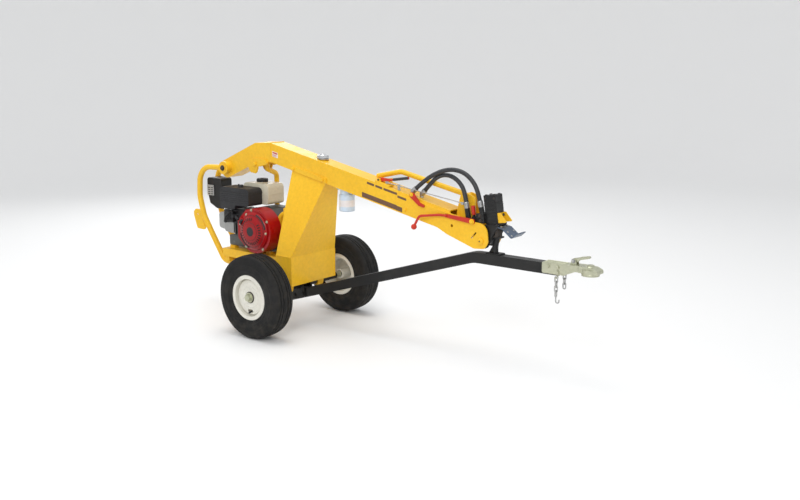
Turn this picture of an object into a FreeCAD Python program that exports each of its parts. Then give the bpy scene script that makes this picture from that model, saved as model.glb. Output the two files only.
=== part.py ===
"""Towable one-man hydraulic earth drill, one STEP file per sub-part, in millimetres.

The geometry is laid out in a working frame: X forward to the hitch with 0 at the axle, Y to the
left with 0 on the centre plane, Z up, with the ground at GROUND_Z. Each part moves by ORIGIN_X
and GROUND_Z as it is written, so that the origin is on the ground under the machine's middle.
"""
import FreeCAD, Part
import math
import os

from FreeCAD import Vector

# ---- Driving dimensions -------------------------------------------------------------------
ORIGIN_X = 479.5            # middle of the machine's length, measured from the axle
FIT = 0.05                  # radial running clearance of pins and bores
GAP = 0.3                   # clearance between curved faces of neighbouring pieces

# wheels and axle
TYRE_R = 219.0              # 4.80-8 trailer tyre
TYRE_WIDTH = 132.0
RIM_SEAT_R = 101.6          # 8 inch rim
RIM_FLANGE_R = 115.5
RIM_HALF_WIDTH = 55.0
TRACK_HALF = 346.4
AXLE_Z = 231.0
GROUND_Z = AXLE_Z - TYRE_R
AXLE_R = 19.0
AXLE_SHOULDER_Y = 262.0
SPINDLE_R = 12.7
HUB_TUBE_R = 26.0
HUB_HALF = 45.0
BEARING_OUTER = 21.0
NUT_R = 19.0

# tow bar, transport post and hitch
BAR = 50.0                  # square tow bar
BAR_WALL = 4.0
BAR_REAR = (-64.0, 158.0)
BAR_KINK = (1126.0, 528.0)
BAR_FRONT = (1575.0, 528.0)
POST_X = 1233.0
POST_R = 14.0
BALL_X = 1716.0
BALL_R = 25.6               # socket for a 50 mm tow ball
LATCH_PIVOT = (1640.0, 576.0)
CHAIN_X = 1572.0
CHAIN_Y = 38.0
CHAIN_WIRE = 3.0
CHAIN_PITCH = 21.0
CHAIN_EYE_Z = 495.2         # the pins that the chains hang on

# boom
BEAM = 101.6                # 4 inch square boom tube
BEAM_HALF = BEAM / 2
BEAM_WALL = 5.0
BEAM_START = (-172.0, 889.0)    # lower edge, where the straight beam leaves the bend
BEAM_SLOPE = -0.2126
BEAM_END_X = 1010.0
ARM_TOP = (-291.0, 987.0)       # upper corner of the bend
REAR_HUB = (-520.0, 836.0)
REAR_HUB_R = 36.0
KINK_BOLT = (-288.0, 871.0)
STAY_TOP = (-254.0, 882.0)      # the engine stay's upper end, under the bend
CHEEK_T = 6.0
CHEEK_FACE = BEAM_HALF + 0.1
CHEEK_OUT = CHEEK_FACE + CHEEK_T
PIVOT = (1188.0, 617.0)         # auger head pivot
PIVOT_R = 12.0
FILLER_X = 163.0
FILTER_X = 328.0

# oil tank
TANK_HALF_LOW = 170.0
TANK_Z = (257.0, 413.0)
TANK_X_LOW = (-28.0, 85.0)
TANK_X_TOP = (-12.0, 224.0)
TANK_WALL = 4.0

# hoses: centre lines chosen point by point
HOSE_R = 10.5
CRIMP_R = 12.5
HOSE_OUTER = [(800, -32, 826), (843, -32, 862), (893, -32, 895), (950, -32, 921), (1014, -31, 933),
              (1075, -30, 922), (1122, -30, 888), (1151, -30, 844), (1163, -30, 798)]
HOSE_INNER = [(840, -14, 818), (871, -14, 851), (906, -14, 885), (953, -17, 902), (1003, -21, 898),
              (1047, -25, 874), (1078, -29, 835), (1088, -30, 786)]

# auger head
HEAD_LEAN = math.radians(8.0)   # the auger motor leans back this far at rest
HEAD_FOOT = (1232.0, 694.0)     # centre of the motor's lower face
MOTOR_HALF_X = 32.0
MOTOR_HALF_Y = 30.0
MOTOR_BODY = 104.0
MOTOR_HEIGHT = 136.0
OUTPUT_R = 17.5
HUB_LOW = -60.0                 # the output hub's lower end, along the motor axis
HUB_OUTER = 25.0
YOKE_INNER = BEAM_HALF - 9.0

# handle and levers
HANDLE_HINGE = (1062.0, 800.0)
HANDLE_Y = 20.0
HANDLE_R = 13.0
LATCH_AXIS = (576.0, 851.0)
LOCK_AXIS = (794.0, 798.0)
SIDE_AXIS = (1143.0, 703.0)
LEVER_PIN_R = 6.0
LATCH_PIN_R = 3.0
THROTTLE_AXIS = (-442.0, 565.0)

# engine frame and engine
HOOP_R = 16.0
HOOP_WALL = 3.0
HOOP_Y = 67.0
STAY_Y = 106.0              # the stay runs down behind the engine
STAY_X = -290.0
HOOP_LOW = 300.0            # centre height of the hoops' lower runs
LUG_HOLE = (-772.0, 547.0)
TRAY_TOP = 388.0
TRAY_SKIRT = 343.0
TRAY_HALF = 124.0
CRANK = (-190.0, 525.0)     # engine crankshaft axis, along Y
CRANK_R = 17.5
ENGINE_BASE = TRAY_TOP + 15.0

OUT = "parts"


# ---- Small shape helpers ------------------------------------------------------------------
def box(x0, x1, y0, y1, z0, z1):
    return Part.makeBox(x1 - x0, y1 - y0, z1 - z0, Vector(x0, y0, z0))


def rod(start, end, radius):
    a, b = Vector(*start), Vector(*end)
    return Part.makeCylinder(radius, (b - a).Length, a, b - a)


def ring(start, end, radius, bore):
    return rod(start, end, radius).cut(rod(start, end, bore))


def cross_rod(x, z, y0, y1, radius):
    return rod((x, y0, z), (x, y1, z), radius)


def cross_ring(x, z, y0, y1, radius, bore):
    return cross_rod(x, z, y0, y1, radius).cut(cross_rod(x, z, y0, y1, bore))


def both_sides(shape):
    return [shape, shape.mirror(Vector(0, 0, 0), Vector(0, 1, 0))]


def group(shapes):
    return Part.makeCompound([solid for shape in shapes for solid in shape.Solids])


def corner(before, here, after, radius):
    """The tangent points and middle of an arc that rounds the corner at here."""
    a, b = (before - here).normalize(), (after - here).normalize()
    half = math.acos(max(-1.0, min(1.0, a.dot(b)))) / 2
    reach = radius / math.tan(half)
    bisector = (a + b).normalize()
    centre = here + bisector * (radius / math.sin(half))
    return here + a * reach, centre - bisector * radius, here + b * reach


def rounded_wire(points, radii, closed):
    """Straight runs joined by tangent arcs; a zero radius leaves a sharp corner."""
    points = [Vector(*p) for p in points]
    count = len(points)
    stops = []
    for i, here in enumerate(points):
        sharp = radii[i] == 0 or (not closed and i in (0, count - 1))
        if sharp:
            stops.append((here, None, here))
        else:
            stops.append(corner(points[i - 1], here, points[(i + 1) % count], radii[i]))
    edges = []
    for i, (enter, middle, leave) in enumerate(stops):
        if middle is not None:
            edges.append(Part.Arc(enter, middle, leave).toShape())
        if closed or i < count - 1:
            following = stops[(i + 1) % count][0]
            if (following - leave).Length > 1e-6:
                edges.append(Part.LineSegment(leave, following).toShape())
    return Part.Wire(edges)


def slab(outline, y0, y1):
    """A plate or block: an outline of (x, z) or (x, z, corner radius), extruded along Y."""
    points = [(p[0], y0, p[1]) for p in outline]
    radii = [p[2] if len(p) > 2 else 0 for p in outline]
    face = Part.Face(rounded_wire(points, radii, True))
    return face.extrude(Vector(0, y1 - y0, 0))


def pipe(points, radii, radius, bore=0.0):
    """A round bar or tube bent along straight runs and tangent arcs."""
    spine = rounded_wire(points, radii, False)
    start = Vector(*points[0])
    direction = Vector(*points[1]) - start

    def sweep(r):
        profile = Part.Wire(Part.makeCircle(r, start, direction))
        return Part.Wire(spine).makePipeShell([profile], True, False)

    solid = sweep(radius)
    return solid.cut(sweep(bore)) if bore else solid


def square_sweep(points, radii, half):
    """A square section swept along a path in the XZ plane, one pair of faces kept upright."""
    spine = rounded_wire([(x, 0, z) for x, z in points], radii, False)
    start = Vector(points[0][0], 0, points[0][1])
    along = (Vector(points[1][0], 0, points[1][1]) - start).normalize()
    up = Vector(-along.z, 0, along.x)
    side = Vector(0, 1, 0)
    signs = ((-1, -1), (1, -1), (1, 1), (-1, 1))
    corners = [start + side * (half * s) + up * (half * t) for s, t in signs]
    profile = Part.makePolygon(corners + corners[:1])
    return spine.makePipeShell([profile], True, False)


def turned(profile, x, z, side):
    """A body of revolution about a cross axis: profile points are (y, radius)."""
    points = [Vector(x, side * y, z + r) for y, r in profile]
    face = Part.Face(Part.makePolygon(points + points[:1]))
    return face.revolve(Vector(x, 0, z), Vector(0, 1, 0), 360)


def turned_round(profile, x, z, side):
    """As turned, with (y, radius, corner radius) points."""
    points = [(x, side * p[0], z + p[1]) for p in profile]
    radii = [p[2] for p in profile]
    face = Part.Face(rounded_wire(points, radii, True))
    return face.revolve(Vector(x, 0, z), Vector(0, 1, 0), 360)


def beam_z(x, height=0.0):
    """Height of the beam's lower edge at x, or of a line that far above it, square to the beam."""
    lean = math.atan(BEAM_SLOPE)
    return BEAM_START[1] + BEAM_SLOPE * (x - BEAM_START[0]) + height / math.cos(lean)


def beam_slab(x0, x1, h0, h1, y0, y1, radius=0.0):
    """A block that follows the beam from x0 to x1, between two heights above its lower edge."""
    low = [(x0, beam_z(x0, h0), radius), (x1, beam_z(x1, h0), radius)]
    high = [(x1, beam_z(x1, h1), radius), (x0, beam_z(x0, h1), radius)]
    return slab(low + high, y0, y1)


def head_point(across, along):
    """A point of the auger head: across is forward, along is up the leaning motor axis."""
    x = HEAD_FOOT[0] + across * math.cos(HEAD_LEAN) - along * math.sin(HEAD_LEAN)
    z = HEAD_FOOT[1] + across * math.sin(HEAD_LEAN) + along * math.cos(HEAD_LEAN)
    return x, z


def head_rod(across, y, low, high, radius):
    """A round part along the motor axis direction."""
    x0, z0 = head_point(across, low)
    x1, z1 = head_point(across, high)
    return rod((x0, y, z0), (x1, y, z1), radius)


def head_slab(a0, a1, l0, l1, y0, y1, radius=0.0):
    outline = [(*head_point(a, l), radius) for a, l in ((a0, l0), (a1, l0), (a1, l1), (a0, l1))]
    return slab(outline, y0, y1)


PARTS = {}


def keep(name, shape):
    shape = shape.copy()
    shape.translate(Vector(-ORIGIN_X, 0, -GROUND_Z))
    PARTS[name] = shape


# ---- Wheels -------------------------------------------------------------------------------
def make_wheel(name, side):
    y = side * TRACK_HALF
    half = TYRE_WIDTH / 2
    seat = RIM_SEAT_R + 0.4
    bead = RIM_HALF_WIDTH - 3.4
    outer = [(-bead, seat, 0), (-bead, seat + 16, 4), (-half, seat + 52, 30),
             (-half + 4, TYRE_R - 22, 16), (-half + 26, TYRE_R, 14), (half - 26, TYRE_R, 14),
             (half - 4, TYRE_R - 22, 16), (half, seat + 52, 30), (bead, seat + 16, 4),
             (bead, seat, 0), (bead - 14, seat, 0), (bead - 14, seat + 18, 5),
             (half - 11, seat + 54, 24), (half - 24, TYRE_R - 14, 16),
             (-half + 24, TYRE_R - 14, 16), (-half + 11, seat + 54, 24),
             (-bead + 14, seat + 18, 5), (-bead + 14, seat, 0)]
    tyre = turned_round(outer, 0, AXLE_Z, 1)
    tyre.translate(Vector(0, y, 0))
    keep(f"tyre_{name}", tyre)

    flange, seat_y = RIM_HALF_WIDTH, RIM_HALF_WIDTH - 3
    barrel = [(-flange, RIM_FLANGE_R), (-flange + 3, RIM_FLANGE_R), (-seat_y, RIM_SEAT_R),
              (-30, RIM_SEAT_R), (-20, RIM_SEAT_R - 13), (12, RIM_SEAT_R - 13), (24, RIM_SEAT_R),
              (seat_y, RIM_SEAT_R), (flange - 3, RIM_FLANGE_R), (flange, RIM_FLANGE_R),
              (flange, RIM_SEAT_R - 3), (22, RIM_SEAT_R - 3), (10, RIM_SEAT_R - 16),
              (-18, RIM_SEAT_R - 16), (-28, RIM_SEAT_R - 3), (-flange, RIM_SEAT_R - 3)]
    rim = turned(barrel, 0, AXLE_Z, side)
    dish = [(26, RIM_SEAT_R - 2), (38, 88), (42, 74), (42, HUB_TUBE_R), (38, HUB_TUBE_R),
            (38, 73), (34, 85), (23, RIM_SEAT_R - 4)]
    rim = rim.fuse(turned(dish, 0, AXLE_Z, side))
    slot = slab([(-19, AXLE_Z - 80, 8), (19, AXLE_Z - 80, 8), (19, AXLE_Z - 64, 8),
                 (-19, AXLE_Z - 64, 8)], -60, 60)
    rim = rim.cut(slot)
    rim.translate(Vector(0, y, 0))
    keep(f"rim_{name}", rim)

    tube = cross_ring(0, AXLE_Z, y - HUB_HALF, y + HUB_HALF, HUB_TUBE_R, BEARING_OUTER)
    bearings = [cross_ring(0, AXLE_Z, y + s * 30 - 8, y + s * 30 + 8, BEARING_OUTER,
                           SPINDLE_R + FIT) for s in (-1, 1)]
    keep(f"wheel_hub_{name}", group([tube] + bearings))


def make_axle():
    shaft = cross_rod(0, AXLE_Z, -AXLE_SHOULDER_Y, AXLE_SHOULDER_Y, AXLE_R)
    end = TRACK_HALF + HUB_HALF + 21
    shaft = shaft.fuse(cross_rod(0, AXLE_Z, -end, end, SPINDLE_R)).removeSplitter()
    keep("axle_shaft", shaft)

    rings = []
    for side in (-1, 1):
        lo, hi = sorted((side * AXLE_SHOULDER_Y, side * (TRACK_HALF - HUB_HALF - 1)))
        rings.append(cross_ring(0, AXLE_Z, lo, hi, 17, SPINDLE_R))
        face = side * (TRACK_HALF + HUB_HALF + 1)
        far = face + side * 3
        rings.append(cross_ring(0, AXLE_Z, *sorted((face, far)), 22, SPINDLE_R))
        hexagon = [(NUT_R * math.cos(k * math.pi / 3), AXLE_Z + NUT_R * math.sin(k * math.pi / 3))
                   for k in range(6)]
        nut = slab(hexagon, *sorted((far, far + side * 14)))
        rings.append(nut.cut(cross_rod(0, AXLE_Z, -500, 500, SPINDLE_R)))
    keep("axle_nuts", group(rings))


# ---- Tow bar, transport post and hitch ----------------------------------------------------
def make_tow_bar():
    run = [BAR_REAR, BAR_KINK, BAR_FRONT]
    outer = square_sweep(run, [0, 160, 0], BAR / 2)
    inner = square_sweep(run, [0, 160, 0], BAR / 2 - BAR_WALL)
    keep("tow_bar", outer.cut(inner))

    slope = (BAR_KINK[1] - BAR_REAR[1]) / (BAR_KINK[0] - BAR_REAR[0])
    centre_z = BAR_REAR[1] - slope * BAR_REAR[0]
    pieces = []
    for side in (-1, 1):
        lo, hi = sorted((side * (BAR / 2 + 0.1), side * (BAR / 2 + 8.1)))
        ear = slab([(-46, centre_z - 36, 8), (46, centre_z - 8, 8), (40, AXLE_Z - 6, 10),
                    (24, AXLE_Z + 14, 6), (-24, AXLE_Z + 14, 6), (-40, AXLE_Z - 14, 10)], lo, hi)
        pieces.append(ear.cut(cross_rod(0, AXLE_Z, -60, 60, AXLE_R)))
        for x in (-30, 30):
            lo, hi = sorted((side * (BAR / 2 + 8.2), side * (BAR / 2 + 15)))
            pieces.append(cross_rod(x, centre_z + slope * x, lo, hi, 9))
    keep("axle_clamp", group(pieces))


def make_post():
    foot = BAR_FRONT[1] + BAR / 2
    top_x, top_z = head_point(0, HUB_LOW - 0.4)
    rise = math.tan(HEAD_LEAN)
    tube = pipe([(POST_X, 0, foot + 6), (POST_X, 0, foot + 36), (top_x, 0, top_z - 6)],
                [0, 40, 0], POST_R, POST_R - 3.5)
    plate = box(POST_X - 36, POST_X + 36, -25, 25, foot, foot + 6)
    half = 24.0
    cradle = slab([(top_x - half, top_z - 8 - half * rise), (top_x + half, top_z - 8 + half * rise),
                   (top_x + half, top_z + half * rise), (top_x - half, top_z - half * rise)],
                  -half, half)
    gusset = slab([(POST_X - 32, foot + 6), (POST_X - POST_R - GAP, foot + 6),
                   (POST_X - POST_R - GAP, foot + 36)], -4, 4)
    keep("transport_post", group([tube.cut(cradle), plate, cradle, gusset]))


def make_coupler():
    """Pressed coupler body over the bar's end: a channel that narrows to a round ball housing."""
    z = BAR_FRONT[1]
    inner = BAR / 2 + 0.2
    skin = 4.0
    side_view = [(1494, z - 20, 8), (1600, z - 20, 12), (1656, z + 4, 14), (1700, z + 2, 6),
                 (1762, z + 2, 4), (1762, z + 18, 10), (1736, z + 30, 14), (1668, z + 33, 24),
                 (1600, z + inner + skin, 10), (1494, z + inner + skin, 4)]
    body = slab(side_view, -inner - skin, inner + skin)
    plan = Part.makePolygon([Vector(x, y, z - 60) for x, y in
                             ((1480, -32), (1610, -30), (1668, -27), (1700, -40), (1780, -40),
                              (1780, 40), (1700, 40), (1668, 27), (1610, 30), (1480, 32),
                              (1480, -32))])
    body = body.common(Part.Face(plan).extrude(Vector(0, 0, 140)))
    body = body.cut(box(1490, BAR_FRONT[0] + 5, -inner, inner, z - 40, z + inner))
    body = body.cut(box(BAR_FRONT[0] + 4, 1690, -18, 18, z - 40, z + 16))
    housing = rod((BALL_X, 0, z - 8), (BALL_X, 0, z + 20), 39)
    dome = Part.makeSphere(34, Vector(BALL_X, 0, z + 4))
    body = body.fuse([housing, dome.common(box(1600, 1800, -60, 60, z + 4, z + 60))])
    body = body.removeSplitter()
    body = body.cut(Part.makeSphere(BALL_R, Vector(BALL_X, 0, z - 2)))
    body = body.cut(rod((BALL_X, 0, z - 40), (BALL_X, 0, z - 2), BALL_R))

    x, axis_z = LATCH_PIVOT
    ear = slab([(x - 16, z + inner - 1), (x + 16, z + inner - 1), (x + 9, axis_z + 9, 6),
                (x - 9, axis_z + 9, 6)], 9.5, 14.5)
    body = body.fuse(both_sides(ear)).removeSplitter()
    pin = cross_rod(x, axis_z, -17, 17, 4.0)
    body = body.cut(pin)
    for side in (-1, 1):
        lo, hi = sorted((side * 24, side * 46))
        eye = cross_rod(CHAIN_X, CHAIN_EYE_Z, lo, hi, CHAIN_WIRE)
        lo, hi = sorted((side * 25.3, side * 29.1))
        body = body.fuse([eye, box(CHAIN_X - 4, CHAIN_X + 4, lo, hi, CHAIN_EYE_Z, z - 15)])
    keep("coupler_body", group([body, pin]))

    bolts = []
    for x, height in ((1525, 14), (1572, 14), (1572, -9)):
        for side in (-1, 1):
            near, far = side * (inner + skin + 0.1), side * (inner + skin + 8)
            bolts.append(cross_rod(x, z + height, *sorted((near, far)), 8))
    keep("coupler_bolts", group(bolts))

    x, axis_z = LATCH_PIVOT
    lever = slab([(x - 9, axis_z - 6, 4), (x + 12, axis_z - 6, 4), (x + 26, axis_z + 6, 5),
                  (x + 72, axis_z + 18, 3), (x + 72, axis_z + 27, 3), (x + 18, axis_z + 16, 6),
                  (x - 9, axis_z + 9, 5)], -9, 9)
    keep("coupler_latch", lever.cut(cross_rod(x, axis_z, -20, 20, 4.05)))


def chain_link(centre, across):
    """One round-wire link; its long way is upright and across gives its flat direction."""
    up = Vector(0, 0, 1)
    half_width = 6.6
    half_height = CHAIN_PITCH / 2 + CHAIN_WIRE
    corners = [centre + across * (s * half_width) + up * (t * half_height)
               for s, t in ((0, -1), (1, -1), (1, 1), (-1, 1), (-1, -1), (0, -1))]
    return pipe([tuple(c) for c in corners], [0, 6.0, 6.0, 6.0, 6.0, 0], CHAIN_WIRE)


def make_chains():
    """Two hanging safety chains of plain links, each turned a quarter from the last."""
    solids = []
    top = BAR_FRONT[1] - 40
    for side, links in ((-1, 4), (1, 3)):
        for k in range(links):
            across = Vector(1, 0, 0) if k % 2 == 0 else Vector(0, 1, 0)
            solids.append(chain_link(Vector(CHAIN_X, side * CHAIN_Y, top - k * CHAIN_PITCH), across))
    hook_z = top - 4 * CHAIN_PITCH
    hook = pipe([(CHAIN_X, -CHAIN_Y, hook_z + 6), (CHAIN_X, -CHAIN_Y, hook_z - 20),
                 (CHAIN_X + 16, -CHAIN_Y, hook_z - 20), (CHAIN_X + 16, -CHAIN_Y, hook_z - 4)],
                [0, 7.5, 7.5, 0], CHAIN_WIRE)
    keep("safety_chains", group(solids + [hook]))


# ---- Boom: beam, rear arm, oil tank, nose ---------------------------------------------------
def make_beam():
    x0, x1 = BEAM_START[0], BEAM_END_X
    tube = beam_slab(x0, x1, 0, BEAM, -BEAM_HALF, BEAM_HALF)
    hollow = beam_slab(x0 - 1, x1 + 1, BEAM_WALL, BEAM - BEAM_WALL,
                       BEAM_WALL - BEAM_HALF, BEAM_HALF - BEAM_WALL)
    top = beam_z(FILLER_X, BEAM)
    tube = tube.cut(hollow).cut(rod((FILLER_X, 0, top - 30), (FILLER_X, 0, top + 40), 24))
    neck = ring((FILLER_X, 0, top - 28), (FILLER_X, 0, top + 12), 23.8, 20)
    keep("boom_tube", group([tube, neck]))

    top, low = beam_z(x0, BEAM), beam_z(x0)
    arm = slab([(x0, low), (x0, top), (*ARM_TOP, 30), (-590, 857.5, 46), (-550, 764, 46),
                (-274, 883.6, 20)], -BEAM_HALF, BEAM_HALF)
    w = BEAM_WALL
    hollow = [(x0 - w, low + w), (x0 - w, top - w), (ARM_TOP[0], ARM_TOP[1] - w, 26), (-584, 855, 40),
              (-547, 770, 40), (-274, 883.6 + w, 16)]
    arm = arm.cut(slab(hollow, w - BEAM_HALF, BEAM_HALF - w))
    keep("rear_arm", arm.cut(cross_rod(*REAR_HUB, -60, 60, REAR_HUB_R + 0.3)))

    inner = HOOP_Y - HOOP_R - 2
    hub = [cross_ring(*REAR_HUB, -inner, inner, REAR_HUB_R, 12)]
    for side in (-1, 1):
        lo, hi = sorted((side * inner, side * (HOOP_Y + HOOP_R + 3)))
        hub.append(cross_ring(*REAR_HUB, lo, hi, REAR_HUB_R, 8))
    keep("rear_hub", group(hub))


def make_brackets():
    """Stiffening plates on both sides of the bend, and the bolts of the boom's fittings."""
    pieces = []
    for side in (-1, 1):
        lo, hi = sorted((side * CHEEK_FACE, side * (CHEEK_FACE + 8)))
        plate = slab([(-352, 866, 12), (-326, 824, 14), (-284, 820, 10), (-268, 858, 8),
                      (-192, 876, 8), (-206, 902, 10), (-316, 902, 16)], lo, hi)
        pieces.append(plate.cut(cross_rod(*KINK_BOLT, -80, 80, 7)))
    keep("kink_brackets", group(pieces))

    hub_face = HOOP_Y + HOOP_R + 3.1
    bolts = [cross_rod(*REAR_HUB, -hub_face - 12, hub_face + 12, 7.8)]
    for side in (-1, 1):
        lo, hi = sorted((side * hub_face, side * (hub_face + 9)))
        bolts.append(cross_ring(*REAR_HUB, lo, hi, 15, 7.8))
        lo, hi = sorted((side * (CHEEK_FACE + 8.1), side * (CHEEK_FACE + 16)))
        bolts.append(cross_rod(*KINK_BOLT, lo, hi, 12))
        lo, hi = sorted((side * (CHEEK_OUT + 0.2), side * (CHEEK_OUT + 8)))
        for x, height in ((752, 26), (850, 26)):
            bolts.append(cross_rod(x, beam_z(x, height), lo, hi, 7))
    bolts.append(cross_rod(*LOCK_AXIS, -CHEEK_OUT - 12, -CHEEK_OUT - 0.1, 4.0))
    bolts.append(cross_rod(*SIDE_AXIS, -CHEEK_OUT - 14, -CHEEK_OUT - 0.1, LEVER_PIN_R))
    bolts.append(cross_rod(*THROTTLE_AXIS, -115, -100.1, LATCH_PIN_R))
    shank = cross_rod(*HANDLE_HINGE, HANDLE_Y - 26, HANDLE_Y + 26, LEVER_PIN_R)
    ends = [cross_rod(*HANDLE_HINGE, HANDLE_Y + s * 31 - 4.9, HANDLE_Y + s * 31 + 4.9, 11)
            for s in (-1, 1)]
    bolts.append(shank.fuse(ends).removeSplitter())
    keep("boom_bolts", group(bolts))


def make_tank():
    x0, x1 = TANK_X_LOW
    z0, z1 = TANK_Z
    t0, t1 = TANK_X_TOP

    def shell(inset):
        a, b, w, n = x0 + inset, x1 - inset, TANK_HALF_LOW - inset, BEAM_HALF - inset
        base = box(a, b, -w, w, z0 + inset, z1)
        lower = [Vector(a, -w, z1), Vector(b, -w, z1), Vector(b, w, z1), Vector(a, w, z1)]
        upper = [Vector(x, y, beam_z(x) - 0.2)
                 for x, y in ((t0 + inset, -n), (t1 - inset, -n), (t1 - inset, n), (t0 + inset, n))]
        wires = [Part.makePolygon(p + p[:1]) for p in (lower, upper)]
        return base.fuse(Part.makeLoft(wires, True, True))

    keep("oil_tank", shell(0).cut(shell(TANK_WALL)))

    skirts = []
    for side in (-1, 1):
        lo, hi = sorted((side * (BEAM_HALF + GAP), side * (BEAM_HALF + 6.3)))
        skirts.append(beam_slab(t0 - 6, t1 + 8, 1, 27, lo, hi, 4))
        lo, hi = sorted((side * (BEAM_HALF + 6.4), side * (BEAM_HALF + 14)))
        for x in (t0 + 14, t1 - 14):
            skirts.append(cross_rod(x, beam_z(x, 14), lo, hi, 8.5))
    keep("tank_flange", group(skirts))

    blocks = []
    for y in (-118, 118):
        block = slab([(-26, z0 - GAP), (-26, AXLE_Z), (-20, AXLE_Z - 25, 12),
                      (20, AXLE_Z - 25, 12), (26, AXLE_Z), (26, z0 - GAP)], y - 22, y + 22)
        blocks.append(block.cut(cross_rod(0, AXLE_Z, -200, 200, AXLE_R + 0.08)))
    keep("axle_bearings", group(blocks))


def make_filler():
    top = beam_z(FILLER_X, BEAM)
    cap = rod((FILLER_X, 0, top + 12.4), (FILLER_X, 0, top + 24), 30)
    cap = cap.makeFillet(4, [e for e in cap.Edges if e.BoundBox.ZMin > top + 23])
    skirt = ring((FILLER_X, 0, top + 7), (FILLER_X, 0, top + 12.4), 30, 24.2)
    keep("filler_cap", cap.fuse(skirt).removeSplitter())


def make_filter():
    x = FILTER_X
    base = 664.0
    top = beam_z(x) - 8
    pad = beam_slab(x - 44, x + 44, -8, -GAP, -34, 34)
    head = rod((x, 0, top - 22), (x, 0, top + 20), 34).cut(beam_slab(x - 90, x + 90, -8, 90, -60, 60))
    can = rod((x, 0, base), (x, 0, top - 22.2), 40)
    can = can.makeFillet(9, [e for e in can.Edges if e.BoundBox.ZMax < base + 1])
    keep("return_filter", group([can, head, pad]))


def make_nose():
    """Two cheek plates from the beam to the rounded nose, and the pivot pin through them."""
    px, pz = PIVOT
    upper = BEAM * 0.86
    slot = [(1134, 627, 3.4), (1139, 622, 3.4), (1166, 652, 3.4), (1161, 657, 3.4)]
    for name, side in (("right", -1), ("left", 1)):
        lo, hi = sorted((side * CHEEK_FACE, side * CHEEK_OUT))
        cheek = slab([(700, beam_z(700, upper), 6), (1120, beam_z(1120, upper), 60),
                      (px + 32, 696, 50), (px + 40, 612, 30), (px + 22, 582, 22),
                      (px - 36, 577, 40), (1000, 627, 70), (942, beam_z(942, 2), 30),
                      (700, beam_z(700, 4), 10)], lo, hi)
        cheek = cheek.cut(cross_rod(px, pz, -80, 80, PIVOT_R))
        cheek = cheek.cut(cross_rod(1026, 671, -80, 80, 7))
        keep(f"cheek_{name}", cheek.cut(slab(slot, -80, 80)))

    ends = []
    for side in (-1, 1):
        lo, hi = sorted((side * (CHEEK_OUT + 0.1), side * (CHEEK_OUT + 7)))
        ends.append(cross_rod(px, pz, lo, hi, 16))
    pin = cross_rod(px, pz, -CHEEK_OUT - 0.1, CHEEK_OUT + 0.1, PIVOT_R)
    keep("pivot_pin", pin.fuse(ends).removeSplitter())


def make_hose_fittings():
    """Bulkhead fittings on the beam's top for the two hoses."""
    solids = []
    for route in (HOSE_OUTER, HOSE_INNER):
        end = Vector(*route[0])
        out = (Vector(*route[1]) - end).normalize()
        nut = end - out * 30
        crimp = Part.makeCylinder(CRIMP_R, 30, nut, out)
        seat = beam_z(nut.x, BEAM) + 0.2
        stem = rod((nut.x, nut.y, seat - 6), (nut.x, nut.y, nut.z + 6), 10).cut(crimp)
        stem = stem.cut(beam_slab(nut.x - 40, nut.x + 40, 0, BEAM + 0.2, -60, 60))
        solids.append(crimp)
        if stem.Solids:
            solids.append(max(stem.Solids, key=lambda s: s.Volume))
    keep("hose_fittings", group(solids))


def make_hoses():
    """Two pressure hoses that arch from the beam to the auger head, in straight runs and arcs."""
    for name, points in (("hose_outer", HOSE_OUTER), ("hose_inner", HOSE_INNER)):
        vectors = [Vector(*p) for p in points]
        runs = [(b - a).Length for a, b in zip(vectors, vectors[1:])]
        radii = [0.0]
        for i in range(1, len(points) - 1):
            turn = (vectors[i] - vectors[i - 1]).getAngle(vectors[i + 1] - vectors[i])
            radii.append(0.45 * min(runs[i - 1], runs[i]) / math.tan(turn / 2))
        radii.append(0.0)
        tube = pipe(points, radii, HOSE_R)
        spine = rounded_wire(points, radii, False)
        print(name, "length", round(spine.Length, 1), "radii", [round(r) for r in radii[1:-1]],
              "runs", [round(r) for r in runs],
              "volume ratio", round(tube.Volume / (math.pi * HOSE_R ** 2 * spine.Length), 4))
        keep(name, tube)


# ---- Auger head ---------------------------------------------------------------------------
def make_yoke():
    px, pz = PIVOT
    left, right = -MOTOR_HALF_X - 2, MOTOR_HALF_X + 2
    inner = YOKE_INNER - 8
    solids = []
    for side in (-1, 1):
        lo, hi = sorted((side * inner, side * YOKE_INNER))
        solids.append(slab([(px - 46, pz - 14, 16), (px - 28, pz - 36, 24), (px + 26, pz - 36, 24),
                            (px + 40, pz - 4, 22), head_point(right, -6), head_point(left, -6),
                            (px - 46, pz + 45, 10)], lo, hi))
    solids.append(cross_rod(px, pz, -inner, inner, 26))
    solids.append(slab([(px - 44, pz + 40), head_point(left, -6.1), head_point(left, -14),
                        (px - 42, pz + 30)], -inner, inner))
    bore = cross_rod(px, pz, -80, 80, PIVOT_R + FIT)
    solids = [solid.cut(bore) for solid in solids]
    solids.append(head_slab(left, right, -6, 0, -YOKE_INNER, YOKE_INNER))
    clear = head_rod(0, 0, HUB_LOW - 20, 1, HUB_OUTER + 3)
    keep("head_yoke", group([solid.cut(clear) for solid in solids]))


def make_motor():
    x, y = MOTOR_HALF_X, MOTOR_HALF_Y
    body = head_slab(-x, x, 0.1, MOTOR_BODY, -y, y, 3)
    for low in (36, 70):
        body = body.cut(head_slab(-50, 50, low, low + 2, -y - 1, -y + 1.5))
    body = body.cut(head_rod(0, 0, -1, 62, OUTPUT_R + FIT))
    cap = head_slab(-x, x, MOTOR_BODY + 0.1, MOTOR_HEIGHT, -y, y, 3)
    flange = head_rod(0, 0, -9, 0.05, HUB_OUTER + 2.6).cut(head_rod(0, 0, -10, 1, OUTPUT_R + FIT))
    keep("auger_motor", group([body, cap, flange]))


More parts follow.
